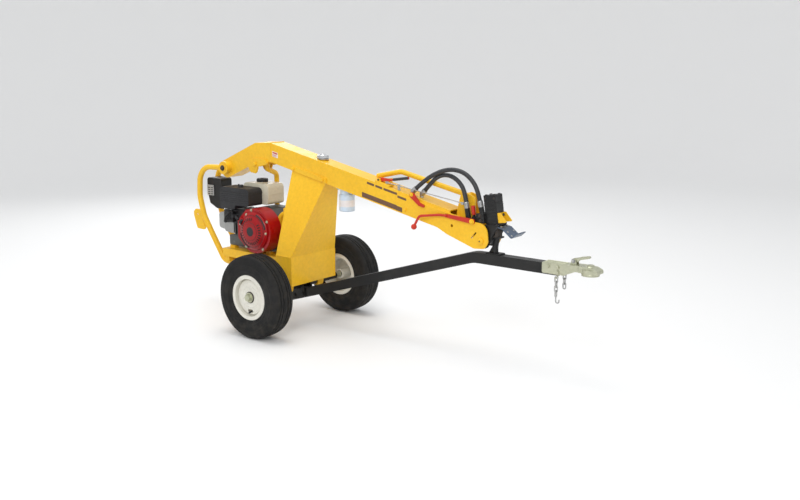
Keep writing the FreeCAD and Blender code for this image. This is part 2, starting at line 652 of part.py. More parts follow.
def make_ports():
    """The port block with its valve and hose ends, and the valve's spool lever."""
    block = head_slab(-74, -MOTOR_HALF_X - 0.2, 8, 56, -44, -16, 3)
    stand = head_slab(-160, -74.2, 8, 34, -44, -16, 3)
    solids = [block, stand]
    for route, low in ((HOSE_OUTER, 742), (HOSE_INNER, 712)):
        end = Vector(*route[-1])
        down = (end - Vector(*route[-2])).normalize()
        foot = end + down * ((end.z - low) / -down.z)
        crimp = rod(tuple(end), tuple(foot), CRIMP_R).cut(block).cut(stand)
        solids.append(max(crimp.Solids, key=lambda s: s.Volume))
    keep("port_block", group(solids))

    ball_x, ball_z = head_point(-94, 40.5)
    ball = Part.makeSphere(6.3, Vector(ball_x, -30, ball_z))
    stem = head_rod(-94, -30, 40.5, 52, 4.5)
    knob = head_rod(-94, -30, 50, 92, 9.5)
    keep("spool_lever", ball.fuse([stem, knob]).removeSplitter())


def make_head_guards():
    plate = slab([(1268, 684), (1290, 680, 8), (1340, 641, 8), (1368, 665), (1365, 668.5),
                  (1340, 646.5, 4), (1292, 684.5, 8), (1268, 689)], -40, 40)
    keep("skid_plate", plate)
    start = MOTOR_HALF_X + 0.2
    wing = slab([head_point(start, 6), head_point(start, 52), (*head_point(start + 14, 52), 5),
                 (*head_point(start + 44, 6), 4)], -27, -21)
    spine = head_slab(start, start + 4, 8, 50, -20.9, 20.9)
    keep("head_guard", group(both_sides(wing) + [spine]))


def make_output_hub():
    depth = HUB_LOW + 40
    shaft = head_rod(0, 0, -12, 60, OUTPUT_R)
    core = shaft.fuse(head_rod(0, 0, depth, -12, HUB_OUTER)).removeSplitter()
    sleeve = head_rod(0, 0, HUB_LOW, depth, HUB_OUTER)
    sleeve = sleeve.cut(head_rod(0, 0, HUB_LOW - 1, depth + 1, OUTPUT_R))
    pin_x, pin_z = head_point(0, HUB_LOW + 16)
    keep("output_hub", group([core, sleeve.cut(cross_rod(pin_x, pin_z, -60, 60, 6))]))


# ---- Folding handle and levers ----------------------------------------------------------------
def make_handle():
    fx, fz = HANDLE_HINGE
    y = HANDLE_Y
    tail_z = beam_z(520, BEAM) + HANDLE_R + 1
    tube = pipe([(520, y, tail_z), (668, y, 892), (fx - 14, y, fz + 14)], [0, 70, 0],
                HANDLE_R, HANDLE_R - 2.6)
    eye = cross_rod(fx, fz, y - 17, y + 17, 20)
    handle = tube.fuse(eye).removeSplitter()
    handle = handle.cut(cross_rod(fx, fz, y - 40, y + 40, LEVER_PIN_R + FIT))
    keep("handle", handle)

    pieces = []
    for s in (-1, 1):
        lo, hi = sorted((y + s * 17.4, y + s * 25.4))
        plate = slab([(1012, beam_z(1012, 8)), (1060, 700, 10), (1122, 702, 16), (1122, 806, 16),
                      (fx + 10, fz + 23, 16), (fx - 22, fz + 16, 14), (1020, beam_z(1020, 96), 6)],
                     lo, hi)
        pieces.append(plate.cut(cross_rod(fx, fz, -80, 80, LEVER_PIN_R)))
    pieces.append(box(1040, 1116, y - 17.3, y + 17.3, 704, 712))
    saddle = slab([(566, beam_z(566, BEAM) + 0.2), (604, beam_z(604, BEAM) + 0.2),
                   (604, 855), (566, 847)], y - 11, y + 11)
    pieces.append(saddle)
    base = beam_slab(556, 646, BEAM + GAP, BEAM + 10, -50, -12, 4)
    pieces.append(base.cut(cross_rod(*LATCH_AXIS, -38.3, -23.7, 15)))
    x, z = LATCH_AXIS
    for y0, y1 in ((-46, -38.5), (-23.5, -16)):
        ear = slab([(x - 10, beam_z(x - 10, BEAM + 10.1)), (x + 12, beam_z(x + 12, BEAM + 10.1)),
                    (x + 8, z + 8, 6), (x - 8, z + 8, 6)], y0, y1)
        pieces.append(ear)
    pin = cross_rod(x, z, -48, -14, LATCH_PIN_R)
    keep("handle_bracket", group([piece.cut(pin) for piece in pieces] + [pin]))


def make_levers():
    # hold-down latch on the beam's top, with a gripped rod that points forward
    x, z = LATCH_AXIS
    arm = slab([(x - 13, z - 8, 6), (x + 14, z - 8, 6), (644, z - 3, 3), (644, z + 6, 3),
                (x, z + 11, 8), (x - 13, z + 4, 4)], -38, -24)
    grip = rod((638, -31, z + 1.5), (752, -31, z + 20), 5.2)
    arm = arm.fuse(grip).removeSplitter().cut(beam_slab(540, 770, 0, BEAM + 10.4, -60, 0))
    keep("latch_lever", arm.cut(cross_rod(x, z, -60, 0, LATCH_PIN_R + FIT)))

    # hooked lock lever that folds over the beam's near edge
    y = -CHEEK_OUT
    x, z = LOCK_AXIS
    lock = slab([(x - 16, z - 2, 8), (x - 2, z + 14, 8), (x + 16, z + 4, 8), (x + 50, z - 34, 8),
                 (x + 78, z - 46, 5), (x + 74, z - 57, 5), (x + 42, z - 50, 8),
                 (x - 6, z - 14, 8)], y - 7, y - 1)
    keep("lock_lever", lock.cut(cross_rod(x, z, -90, 0, 4.05)))

    # long side lever on the near cheek, with a ball knob
    x, z = SIDE_AXIS
    flat = slab([(x + 14, z - 12, 10), (x + 14, z + 12, 10), (990, z + 22, 7),
                 (990, z + 6, 7)], y - 8, y - 2)
    bent = pipe([(1004, y - 8, z + 14), (960, y - 12, z + 14), (862, y - 34, z + 2),
                 (838, y - 40, z - 46)], [0, 60, 22, 0], 6.0)
    knob = Part.makeSphere(14, Vector(836, y - 41, z - 52))
    lever = flat.fuse([bent, knob]).removeSplitter()
    keep("side_lever", lever.cut(cross_rod(x, z, -120, 0, LEVER_PIN_R + FIT)))


# ---- Engine frame and engine ----------------------------------------------------------------
def make_hoops():
    """Two bent tube hoops, from the rear hub under the engine and up to the tank, and a stay."""
    path = [REAR_HUB, (-738, 828), (-748, 655), (-716, 544), (-654, 451), (-548, HOOP_LOW),
            (-95, HOOP_LOW), (-95, 600), (-30, 634)]
    radii = [0, 96, 150, 160, 300, 60, 44, 50, 0]
    # each tube is kept as short lengths, cut at its bends: x from, x to, z from, z to
    lengths = [(-900, -450, 757, 900), (-900, -450, 655, 757), (-900, -450, 544, 655),
               (-900, -450, 451, 544), (-900, -450, 330, 451), (-900, -515, 200, 330),
               (-515, -140, 200, 345), (-140, 0, 200, 345), (-140, 0, 345, 570), (-140, 0, 570, 700)]
    tank = PARTS["oil_tank"].translated(Vector(ORIGIN_X, 0, GROUND_Z))
    for name, side in (("right", -1), ("left", 1)):
        y = side * HOOP_Y
        run = [(x, y, z) for x, z in path]
        tube = pipe(run, radii, HOOP_R, HOOP_R - HOOP_WALL)
        tube = tube.cut(cross_rod(*REAR_HUB, -120, 120, REAR_HUB_R + 0.1))
        foot = slab([(-45, 604), (-29.5, 596), (-29.5, 660), (-45, 652)], y - 24, y + 24).cut(tank)
        tube = tube.cut(foot).cut(tank)
        pieces = [tube.common(box(x0, x1, y - 30, y + 30, z0, z1)) for x0, x1, z0, z1 in lengths]
        pieces.append(foot)
        if side < 0:
            lug = slab([(-803, 539, 6), (-803, 561, 6), (-786, 577, 12), (-735, 577), (-703, 477),
                        (-716, 461, 6), (-776, 463, 12)], y - 4, y + 4)
            lug = lug.cut(cross_rod(*LUG_HOLE, -100, 100, 7))
            pieces.append(lug.cut(pipe(run, radii, HOOP_R)).Solids[0])
        keep(f"engine_hoop_{name}", group(pieces))

    top_x, top_z = STAY_TOP
    stay = pipe([(top_x, 0, top_z), (top_x, 0, 842), (-272, 88, 808), (STAY_X, STAY_Y, 700),
                 (STAY_X, STAY_Y, TRAY_TOP + 6)], [0, 24, 40, 200, 0], 14.0, 11.0)
    foot = rod((STAY_X, STAY_Y, TRAY_TOP + 0.1), (STAY_X, STAY_Y, TRAY_TOP + 6), 17)
    pad = rod((top_x, 0, top_z - 8), (top_x, 0, top_z), 24)
    keep("engine_stay", group([stay.cut(pad), foot, pad]))

    notch = HOOP_Y + 20         # the hoops' risers pass between the tray's two front tongues
    pieces = [box(-500, -118, -TRAY_HALF, TRAY_HALF, TRAY_TOP - 5, TRAY_TOP),
              box(-118, -78, -TRAY_HALF, -notch, TRAY_TOP - 5, TRAY_TOP),
              box(-118, -78, notch, TRAY_HALF, TRAY_TOP - 5, TRAY_TOP)]
    for y in (-TRAY_HALF, TRAY_HALF - 5):
        pieces.append(box(-500, -78, y, y + 5, TRAY_SKIRT, TRAY_TOP - 5))
    for x in (-470, -200):
        pieces.append(box(x - 15, x + 15, -TRAY_HALF + 5.1, TRAY_HALF - 5.1,
                          HOOP_LOW + HOOP_R + 0.2, TRAY_TOP - 5.1))
    for x in (-460, -170):
        for y in (-70, 66):
            pieces.append(box(x - 20, x + 20, y - 16, y + 16, TRAY_TOP + 0.1, ENGINE_BASE - 0.1))
    keep("engine_plate", group(pieces))


def make_engine_block():
    cx, cz = CRANK
    base = ENGINE_BASE
    case = slab([(cx - 300, base, 8), (cx + 68, base, 8), (cx + 68, cz + 50, 36),
                 (cx + 14, cz + 108, 20), (cx - 100, cz + 108, 20), (cx - 118, cz + 40, 8),
                 (cx - 118, cz - 58, 8), (cx - 300, cz - 66, 8)], -78, 88)
    cavity = slab([(cx - 104, base + 12, 8), (cx + 56, base + 12, 8), (cx + 56, cz + 44, 28),
                   (cx + 8, cz + 96, 14), (cx - 90, cz + 96, 14), (cx - 104, cz + 40, 6)], -66, 76)
    keep("crankcase", case.cut(cavity).cut(cross_rod(cx, cz, -140, 140, CRANK_R + FIT)))

    barrel = slab([(cx - 118.3, cz - 46), (cx - 118.3, cz + 62), (cx - 240, cz + 72),
                   (cx - 240, cz - 40)], -80, 30)
    fins = [box(cx - 144 - k * 22, cx - 137 - k * 22, -100, 46, cz - 54, cz + 84) for k in range(5)]
    keep("cylinder", barrel.fuse(fins).removeSplitter())

    head = slab([(cx - 240.3, cz - 50, 6), (cx - 240.3, cz + 84, 6), (cx - 312, cz + 88, 12),
                 (cx - 312, cz - 44, 12)], -100, 40)
    cover = slab([(cx - 312.3, cz - 38, 4), (cx - 312.3, cz + 62, 4), (cx - 372, cz + 58, 20),
                  (cx - 372, cz - 30, 20)], -88, 24)
    carburettor = box(cx - 232, cx - 168, -86, -20, cz + 84.3, cz + 100)
    keep("cylinder_head", group([head, cover, carburettor]))

    crank = cross_rod(cx, cz, -120, 126, CRANK_R)
    throw = slab([(cx - 40, cz - 26, 10), (cx + 34, cz - 26, 10), (cx + 34, cz + 26, 10),
                  (cx - 40, cz + 26, 10)], -20, 24)
    wheel = cross_ring(cx, cz, -136, -100, 100, CRANK_R)
    hub = cross_ring(cx, cz, -148, -136.1, 60, CRANK_R)
    keep("crankshaft", group([crank.fuse(throw).removeSplitter(), wheel, hub]))


def make_engine_covers():
    cx, cz = CRANK

    def scoop(inset, y0, y1):
        drum = cross_rod(cx, cz, y0, y1, 122 - inset)
        wing = slab([(cx - 130 + inset, cz - 50 + inset, 16), (cx - 40, cz - 118 + inset, 10),
                     (cx + 20, cz - 118 + inset, 10), (cx + 20, cz + 118 - inset, 10),
                     (cx - 60, cz + 112 - inset, 10), (cx - 130 + inset, cz + 46 - inset, 16)],
                    y0, y1)
        return drum.fuse(wing).removeSplitter()

    shroud = scoop(0, -168, -84).cut(scoop(6, -162, -83))
    keep("fan_cover", shroud.cut(cross_rod(cx, cz, -175, -150, 88)))

    dome = turned_round([(168.3, 0, 0), (168.3, 104, 4), (176, 104, 6), (194, 84, 10),
                         (202, 40, 10), (202, 0, 0)], cx, cz, -1)
    recoil = dome.cut(turned([(168, 0), (168, 84), (176, 84), (194, 36), (194, 0)], cx, cz, -1))
    port = rod((cx - 60, -185, cz + 30), (cx - 150, -185, cz + 80), 8)
    keep("recoil_cover", recoil.cut(port))

    pull = Vector(-0.866, 0, 0.5)
    start = Vector(cx - 92, -187, cz + 48)
    stem = Part.makeCylinder(7.0, 30, start + pull * 14, pull)
    middle = start + pull * 46
    bar = rod((middle.x, -207, middle.z), (middle.x, -168.5, middle.z), 8)
    keep("starter_handle", stem.fuse(bar).removeSplitter())

    cleaner = slab([(cx - 272, 626, 14), (cx - 160, 626, 10), (cx - 150, 650, 4),
                    (cx - 44, 650, 16), (cx - 44, 746, 24), (cx - 272, 746, 24)], -165, -64)
    keep("air_cleaner", cleaner)

    tank = slab([(cx - 195, 652, 18), (cx, 652, 18), (cx, 765, 26), (cx - 195, 765, 26)], -60, 60)
    keep("fuel_tank", tank)
    keep("fuel_cap", rod((cx - 105, 0, 765.3), (cx - 105, 0, 786), 30))

    can = slab([(-706, 660, 18), (-588, 660, 18), (-588, 766, 18), (-706, 766, 18)], -44, 36)
    elbow = pipe([(-470, 10, 613.4), (-470, 10, 690), (-590, 6, 702)], [0, 34, 0], 14)
    keep("muffler", can.fuse(elbow).removeSplitter())

    bell = cross_rod(cx, cz, 88.3, 150, 66).cut(cross_rod(cx, cz, 88, 132, 46))
    pump = slab([(cx - 52, cz - 60, 12), (cx + 52, cz - 60, 12), (cx + 52, cz + 60, 12),
                 (cx - 52, cz + 60, 12)], 150.1, 224)
    keep("hydraulic_pump", group([bell, pump]))
    throttle = slab([(cx - 260, 557, 7), (cx - 244, 557, 7), (cx - 240, 620, 5), (cx - 256, 620, 5)],
                    -112, -107)
    keep("throttle_lever", throttle.cut(cross_rod(*THROTTLE_AXIS, -120, -100, LATCH_PIN_R + FIT)))


def main():
    os.makedirs(OUT, exist_ok=True)
    make_axle()
    for name, side in (("right", -1), ("left", 1)):
        make_wheel(name, side)
    make_tow_bar()
    make_post()
    make_coupler()
    make_chains()
    make_beam()
    make_brackets()
    make_tank()
    make_filler()
    make_filter()
    make_nose()
    make_hose_fittings()
    make_hoses()
    make_yoke()
    make_motor()
    make_ports()
    make_head_guards()
    make_output_hub()
    make_handle()
    make_levers()
    make_hoops()
    make_engine_block()
    make_engine_covers()
    for name, shape in PARTS.items():
        if not shape.isValid():
            print("INVALID", name)
        shape.exportStep(f"{OUT}/{name}.step")
    boxes = [s.BoundBox for s in PARTS.values()]
    print(len(PARTS), "nodes; x", round(min(b.XMin for b in boxes), 2),
          round(max(b.XMax for b in boxes), 2), "y", round(min(b.YMin for b in boxes), 2),
          round(max(b.YMax for b in boxes), 2), "z", round(min(b.ZMin for b in boxes), 2),
          round(max(b.ZMax for b in boxes), 2))


main()
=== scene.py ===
import math

import bmesh
import bpy
from mathutils import Matrix, Vector


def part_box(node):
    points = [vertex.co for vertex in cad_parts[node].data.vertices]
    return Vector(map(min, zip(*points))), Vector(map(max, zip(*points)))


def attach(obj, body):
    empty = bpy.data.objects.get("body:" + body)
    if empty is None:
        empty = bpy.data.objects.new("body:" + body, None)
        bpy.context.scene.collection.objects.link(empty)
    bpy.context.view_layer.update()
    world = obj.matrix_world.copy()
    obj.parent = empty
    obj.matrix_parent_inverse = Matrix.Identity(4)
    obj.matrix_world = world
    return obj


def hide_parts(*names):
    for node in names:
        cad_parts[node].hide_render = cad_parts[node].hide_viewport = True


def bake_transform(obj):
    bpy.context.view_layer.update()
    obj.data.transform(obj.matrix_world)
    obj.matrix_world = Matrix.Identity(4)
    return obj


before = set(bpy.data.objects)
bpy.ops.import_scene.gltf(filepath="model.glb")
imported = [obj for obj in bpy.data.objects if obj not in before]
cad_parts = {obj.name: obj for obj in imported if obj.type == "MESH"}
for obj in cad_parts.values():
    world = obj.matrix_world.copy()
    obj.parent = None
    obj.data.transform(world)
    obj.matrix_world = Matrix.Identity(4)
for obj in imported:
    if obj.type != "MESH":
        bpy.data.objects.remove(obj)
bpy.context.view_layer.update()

# ---- Places and sizes, in metres ----
AXLE = sum(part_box("axle_shaft"), Vector()) / 2
AXLE_Z = 0.231
TYRE_R = 0.219
GROUND = AXLE_Z - TYRE_R            # the layout's heights are from a datum this far below the ground
HALF_TRACK = 0.3464
TOW_REAR = (-0.064, 0.158)          # both ends of the tow bar's sloping length
TOW_FRONT = (1.126, 0.528)
BEAM = 0.1016
BEAM_HALF = BEAM / 2
BEAM_SLOPE = -0.2126
BEAM_REAR = (-0.172, 0.889)         # the beam's lower edge at its bend
CHEEK_OUT = BEAM_HALF + 0.0061      # outer faces of the cheek plates at the nose
FILLER_X = 0.163
FILTER_X = 0.328
CRANK = (-0.19, 0.525)
FUEL_CAP_X = CRANK[0] - 0.105
HOOP_Y = 0.067
HEAD_LEAN = math.radians(8.0)
HEAD_FOOT = (1.232, 0.694)
REAR_HUB = (-0.52, 0.836)
PIVOT = (1.188, 0.617)
HOSE_R = 0.0105
SIDES = (("right", -1), ("left", 1))
LAMPS = (("key", (2.6, -4.6, 3.8), 2.0, 105), ("top", (-0.4, -0.4, 4.6), 2.6, 75),
         ("rim", (-3.8, 2.6, 2.8), 2.4, 45))    # name, place, size and power in watts


def at(x, y, z):
    """A point given from the axle's middle in plan and from the layout's datum in height."""
    return Vector((x + AXLE.x, y, z - GROUND))


def beam_z(x, height=0.0):
    """Height of a line on the beam, square to its lower edge by height, at x from the axle."""
    lean = math.atan(BEAM_SLOPE)
    return BEAM_REAR[1] + BEAM_SLOPE * (x - BEAM_REAR[0]) + height / math.cos(lean)


def head_at(across, y, along):
    """A point of the auger head: across is forward, along is up the leaning motor."""
    x = HEAD_FOOT[0] + across * math.cos(HEAD_LEAN) - along * math.sin(HEAD_LEAN)
    z = HEAD_FOOT[1] + across * math.sin(HEAD_LEAN) + along * math.cos(HEAD_LEAN)
    return at(x, y, z)


# ---- Camera, light and floor ----
def make_camera():
    data = bpy.data.cameras.new("camera")
    data.sensor_width = 36
    data.lens = 42.39
    data.shift_y = -0.03125
    camera = bpy.data.objects.new("camera", data)
    camera.location = at(3.5078, -3.6188, 1.4369)
    camera.rotation_euler = (math.radians(80.021), 0, math.radians(38.053))
    bpy.context.scene.collection.objects.link(camera)
    bpy.context.scene.camera = camera


def make_floor():
    """A round floor that curves up into a wall far behind the object."""
    mesh = bmesh.new()
    profile = [(0, 0.02), (0, 3.0), (0, 7.0)]
    profile += [(3.0 * (1 - math.cos(math.radians(a))), 7.0 + 3.0 * math.sin(math.radians(a)))
                for a in range(10, 91, 10)]
    profile.append((5.5, 10.0))
    rings = lathe(mesh, (0, 0, 0), (0, 0, 1), profile, 96, close=False)
    mesh.faces.new(rings[0])
    bmesh.ops.recalc_face_normals(mesh, faces=mesh.faces)
    data = bpy.data.meshes.new("floor")
    mesh.to_mesh(data)
    mesh.free()
    for polygon in data.polygons:
        polygon.use_smooth = True
    floor = bpy.data.objects.new("floor", data)
    bpy.context.scene.collection.objects.link(floor)
    data.materials.append(plain("floor", (0.86, 0.86, 0.855), 0.8))


def make_lights():
    bpy.context.scene.view_settings.view_transform = "Standard"
    world = bpy.data.worlds.new("studio")
    bpy.context.scene.world = world
    world.use_nodes = True
    sky = world.node_tree.nodes["Background"]
    sky.inputs["Color"].default_value = (0.97, 0.98, 1.0, 1)
    sky.inputs["Strength"].default_value = 0.82

    for name, place, size, power in LAMPS:
        light = bpy.data.lights.new(name, "AREA")
        light.energy = power
        light.size = size
        lamp = bpy.data.objects.new(name, light)
        lamp.location = place
        aim = Vector((0, 0, 0.5)) - lamp.location
        lamp.rotation_euler = aim.to_track_quat("-Z", "Y").to_euler()
        bpy.context.scene.collection.objects.link(lamp)


# ---- Materials ----
def plain(name, color, rough):
    """One colour with one roughness, for the floor."""
    material = bpy.data.materials.new(name)
    material.use_nodes = True
    shader = material.node_tree.nodes["Principled BSDF"]
    shader.inputs["Base Color"].default_value = (*color, 1)
    shader.inputs["Roughness"].default_value = rough
    return material


def ramp(tree, source, stops):
    """Turns a value into a colour by stops of (value, colour)."""
    node = tree.nodes.new("ShaderNodeValToRGB")
    while len(node.color_ramp.elements) < len(stops):
        node.color_ramp.elements.new(0.5)
    for element, (place, color) in zip(node.color_ramp.elements, stops):
        element.position = place
        element.color = (*color, 1)
    tree.links.new(source, node.inputs["Fac"])
    return node.outputs["Color"]


def noise(tree, scale, detail, stretch=(1, 1, 1)):
    """Noise in the object's own coordinates."""
    coord = tree.nodes.new("ShaderNodeTexCoord")
    mapping = tree.nodes.new("ShaderNodeMapping")
    mapping.inputs["Scale"].default_value = stretch
    node = tree.nodes.new("ShaderNodeTexNoise")
    node.inputs["Scale"].default_value = scale
    node.inputs["Detail"].default_value = detail
    tree.links.new(coord.outputs["Object"], mapping.inputs["Vector"])
    tree.links.new(mapping.outputs["Vector"], node.inputs["Vector"])
    return node.outputs["Fac"]


def blend_colors(tree, factor, first, second, mode="MIX", amount=None):
    """Mixes two colours by a linked factor, or by a fixed amount."""
    node = tree.nodes.new("ShaderNodeMix")
    node.data_type = "RGBA"
    node.blend_type = mode
    if amount is None:
        tree.links.new(factor, node.inputs["Factor"])
    else:
        node.inputs["Factor"].default_value = amount
    for socket, value in ((node.inputs[6], first), (node.inputs[7], second)):
        if isinstance(value, tuple):
            socket.default_value = (*value, 1)
        else:
            tree.links.new(value, socket)
    return node.outputs[2]


def finish_material(name, base, shade, worn, rough=(0.3, 0.45), metal=0.0, coat=0.0,
                    bump=0.05, bump_scale=260.0, wear=0.5, stretch=(1, 1, 1), dirt=0.0, shine=0.5):
    """A surface with slow colour drift, fine grain, scuffs, dust low down and uneven gloss."""
    material = bpy.data.materials.new(name)
    material.use_nodes = True
    tree = material.node_tree
    shader = tree.nodes["Principled BSDF"]
    shader.inputs["Metallic"].default_value = metal
    shader.inputs["Coat Weight"].default_value = coat
    shader.inputs["Specular IOR Level"].default_value = shine
    shader.inputs["Coat Roughness"].default_value = 0.12
    drift = ramp(tree, noise(tree, 5.0, 3.0), ((0.35, base), (0.7, shade)))
    fine = ramp(tree, noise(tree, 70.0, 5.0, stretch), ((0.3, (0.9, 0.9, 0.9)), (0.7, (1, 1, 1))))
    color = blend_colors(tree, None, drift, fine, "MULTIPLY", 1.0)
    if dirt:
        place = tree.nodes.new("ShaderNodeNewGeometry")
        split = tree.nodes.new("ShaderNodeSeparateXYZ")
        tree.links.new(place.outputs["Position"], split.inputs["Vector"])
        low = ramp(tree, split.outputs["Z"], ((0.0, (dirt,) * 3), (0.5, (0, 0, 0))))
        patch = ramp(tree, noise(tree, 22.0, 6.0), ((0.42, (0, 0, 0)), (0.66, (1, 1, 1))))
        mask = blend_colors(tree, None, low, patch, "MULTIPLY", 1.0)
        color = blend_colors(tree, mask, color, (0.33, 0.28, 0.2))
    if wear:
        scuffs = ramp(tree, noise(tree, 55.0, 8.0, stretch), ((0.66, (0, 0, 0)), (0.74, (wear,) * 3)))
        color = blend_colors(tree, scuffs, color, worn)
    tree.links.new(color, shader.inputs["Base Color"])
    gloss = ramp(tree, noise(tree, 14.0, 5.0, stretch), ((0.3, (rough[0],) * 3), (0.75, (rough[1],) * 3)))
    tree.links.new(gloss, shader.inputs["Roughness"])
    height = tree.nodes.new("ShaderNodeBump")
    height.inputs["Strength"].default_value = bump
    height.inputs["Distance"].default_value = 0.001
    tree.links.new(noise(tree, bump_scale, 3.0, stretch), height.inputs["Height"])
    tree.links.new(height.outputs["Normal"], shader.inputs["Normal"])
    return material


def make_materials():
    rust = (0.2, 0.1, 0.05)
    steel = (0.5, 0.5, 0.5)
    looks = (       # key, name, base, shade, worn, rough and the other settings of finish_material
        ("yellow", "yellow_paint", (0.90, 0.53, 0.022), (0.86, 0.48, 0.018), (0.60, 0.40, 0.12),
         (0.30, 0.44), dict(coat=0.03, bump=0.06, wear=0.12, dirt=0.05, shine=0.3)),
        ("black", "black_paint", (0.012, 0.012, 0.013), (0.020, 0.020, 0.019), steel, (0.34, 0.5),
         dict(bump=0.08, wear=0.0, dirt=0.03, shine=0.3)),
        ("tyre", "tyre_rubber", (0.009, 0.009, 0.0095), (0.015, 0.0148, 0.0145), (0.04, 0.04, 0.038),
         (0.62, 0.85), dict(bump=0.35, bump_scale=420, wear=0.1, dirt=0.06, shine=0.25)),
        ("cream", "cream_paint", (0.80, 0.78, 0.70), (0.72, 0.70, 0.62), (0.45, 0.38, 0.3), (0.3, 0.45),
         dict(coat=0.15, bump=0.08, wear=0.3, dirt=0.12)),
        ("steel", "bright_steel", (0.52, 0.52, 0.51), (0.42, 0.42, 0.42), rust, (0.28, 0.45),
         dict(metal=1.0, bump=0.12, wear=0.2, stretch=(1, 1, 6))),
        ("zinc", "zinc_plate", (0.56, 0.56, 0.42), (0.44, 0.46, 0.33), (0.3, 0.3, 0.26), (0.3, 0.5),
         dict(metal=0.7, bump=0.14, wear=0.3)),
        ("chrome", "chrome", (0.78, 0.79, 0.80), (0.7, 0.71, 0.72), (0.4, 0.4, 0.4), (0.06, 0.16),
         dict(metal=1.0, bump=0.02, wear=0.0)),
        ("red", "red_paint", (0.40, 0.003, 0.005), (0.28, 0.002, 0.004), (0.25, 0.05, 0.04), (0.26, 0.38),
         dict(coat=0.08, bump=0.05, wear=0.1, shine=0.3)),
        ("orange_red", "lever_red", (0.58, 0.030, 0.010), (0.46, 0.02, 0.008), (0.3, 0.2, 0.15),
         (0.3, 0.42), dict(coat=0.1, bump=0.06, wear=0.2, shine=0.35)),
        ("beige", "beige_paint", (0.68, 0.64, 0.50), (0.62, 0.58, 0.45), (0.45, 0.4, 0.3), (0.28, 0.42),
         dict(coat=0.25, bump=0.05)),
        ("plastic", "black_plastic", (0.020, 0.020, 0.022), (0.030, 0.030, 0.032), (0.07, 0.07, 0.07),
         (0.42, 0.6), dict(bump=0.4, bump_scale=520, wear=0.1, shine=0.3)),
        ("aluminium", "cast_aluminium", (0.50, 0.50, 0.49), (0.40, 0.40, 0.39), (0.62, 0.62, 0.6),
         (0.42, 0.6), dict(metal=0.9, bump=0.35, bump_scale=380, wear=0.4)),
        ("casting", "engine_casting", (0.15, 0.155, 0.15), (0.10, 0.105, 0.10), (0.5, 0.5, 0.5),
         (0.45, 0.62), dict(metal=0.8, bump=0.35, bump_scale=380, wear=0.3)),
        ("iron", "dark_iron", (0.05, 0.047, 0.045), (0.085, 0.065, 0.05), rust, (0.55, 0.75),
         dict(metal=0.4, bump=0.4, bump_scale=300)),
        ("filter", "filter_paint", (0.62, 0.72, 0.82), (0.56, 0.66, 0.77), (0.4, 0.4, 0.4), (0.25, 0.36),
         dict(coat=0.3, bump=0.03)),
        ("hose", "hose_rubber", (0.022, 0.023, 0.026), (0.034, 0.035, 0.038), (0.08, 0.08, 0.08),
         (0.4, 0.56), dict(bump=0.3, bump_scale=600, wear=0.2)),
        # skid plate: the blue-grey of its base colours is a painted sky reflection on dark steel; its
        # light scuffs are wear
        ("plate", "worn_plate", (0.13, 0.18, 0.26), (0.07, 0.09, 0.12), (0.4, 0.4, 0.4), (0.3, 0.5),
         dict(metal=0.6, bump=0.12, wear=0.6)),
        ("brown", "brown_film", (0.16, 0.075, 0.035), (0.12, 0.055, 0.03), (0.5, 0.3, 0.1), (0.3, 0.42),
         dict(bump=0.02, wear=0.0)),
        ("white", "white_film", (0.82, 0.78, 0.76), (0.74, 0.69, 0.68), (0.5, 0.3, 0.1), (0.3, 0.42),
         dict(bump=0.02, wear=0.0)),
        # near-black fill for slots and the outlet's end: painted shade inside openings
        ("dark", "dark_gap", (0.008, 0.008, 0.008), (0.012, 0.012, 0.012), (0.02, 0.02, 0.02), (0.7, 0.9),
         dict(bump=0.05, wear=0.0)),
    )
    return {key: finish_material(name, *colors, **settings) for key, name, *colors, settings in looks}


# ---- Mesh helpers ----
def piece(name, mesh, body, material, soft=True, bevel=0.0, replaces=()):
    """Turns a bmesh into an object that rides on a body; bevel rounds its hard edges."""
    data = bpy.data.meshes.new(name)
    bmesh.ops.recalc_face_normals(mesh, faces=mesh.faces)
    mesh.to_mesh(data)
    mesh.free()
    data.materials.append(MATERIALS[material])
    for polygon in data.polygons:
        polygon.use_smooth = soft
    if soft:
        data.set_sharp_from_angle(angle=math.radians(38))
    thing = bpy.data.objects.new(name, data)
    bpy.context.scene.collection.objects.link(thing)
    if bevel:
        rounding = thing.modifiers.new("round", "BEVEL")
        rounding.width = bevel
        rounding.segments = 2
        rounding.limit_method = "ANGLE"
        rounding.angle_limit = math.radians(40)
        rounding.harden_normals = True
    if body:
        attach(thing, body)
    if replaces:
        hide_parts(*replaces)
    return thing


def basis(direction):
    """A direction as a unit vector, and two more that are square to it."""
    along = Vector(direction).normalized()
    side = along.cross(Vector((0, 0, 1)) if abs(along.z) < 0.9 else Vector((1, 0, 0))).normalized()
    return along, side, along.cross(side)


def around(count, start=0.0):
    """Level directions in even steps all the way round, beginning a part of a step on."""
    for k in range(count):
        a = 2 * math.pi * (k + start) / count
        yield Vector((math.cos(a), math.sin(a), 0))


def circle(mesh, middle, side, up, radius, count):
    """A ring of vertices in the plane of side and up."""
    angles = [2 * math.pi * k / count for k in range(count)]
    return [mesh.verts.new(middle + (side * math.cos(a) + up * math.sin(a)) * radius) for a in angles]


def join_rings(mesh, rings, close=False):
    """Faces from each ring of vertices to the next, and from the last to the first when closed."""
    for first, second in zip(rings, rings[1:] + rings[:1] if close else rings[1:]):
        for k in range(len(first)):
            j = (k + 1) % len(first)
            mesh.faces.new((first[k], first[j], second[j], second[k]))


def cap_ends(mesh, rings):
    mesh.faces.new(rings[0])
    mesh.faces.new(rings[-1])


def lathe(mesh, origin, direction, profile, segments=64, close=True):
    """A body of revolution; profile is (distance along direction, radius)."""
    along, side, up = basis(direction)
    rings = [circle(mesh, Vector(origin) + along * place, side, up, radius, segments)
             for place, radius in profile]
    join_rings(mesh, rings, close)
    return rings


def turned(mesh, origin, direction, profile, segments=48):
    """A solid turned body: an open profile whose two ends are capped flat."""
    cap_ends(mesh, lathe(mesh, origin, direction, profile, segments, close=False))


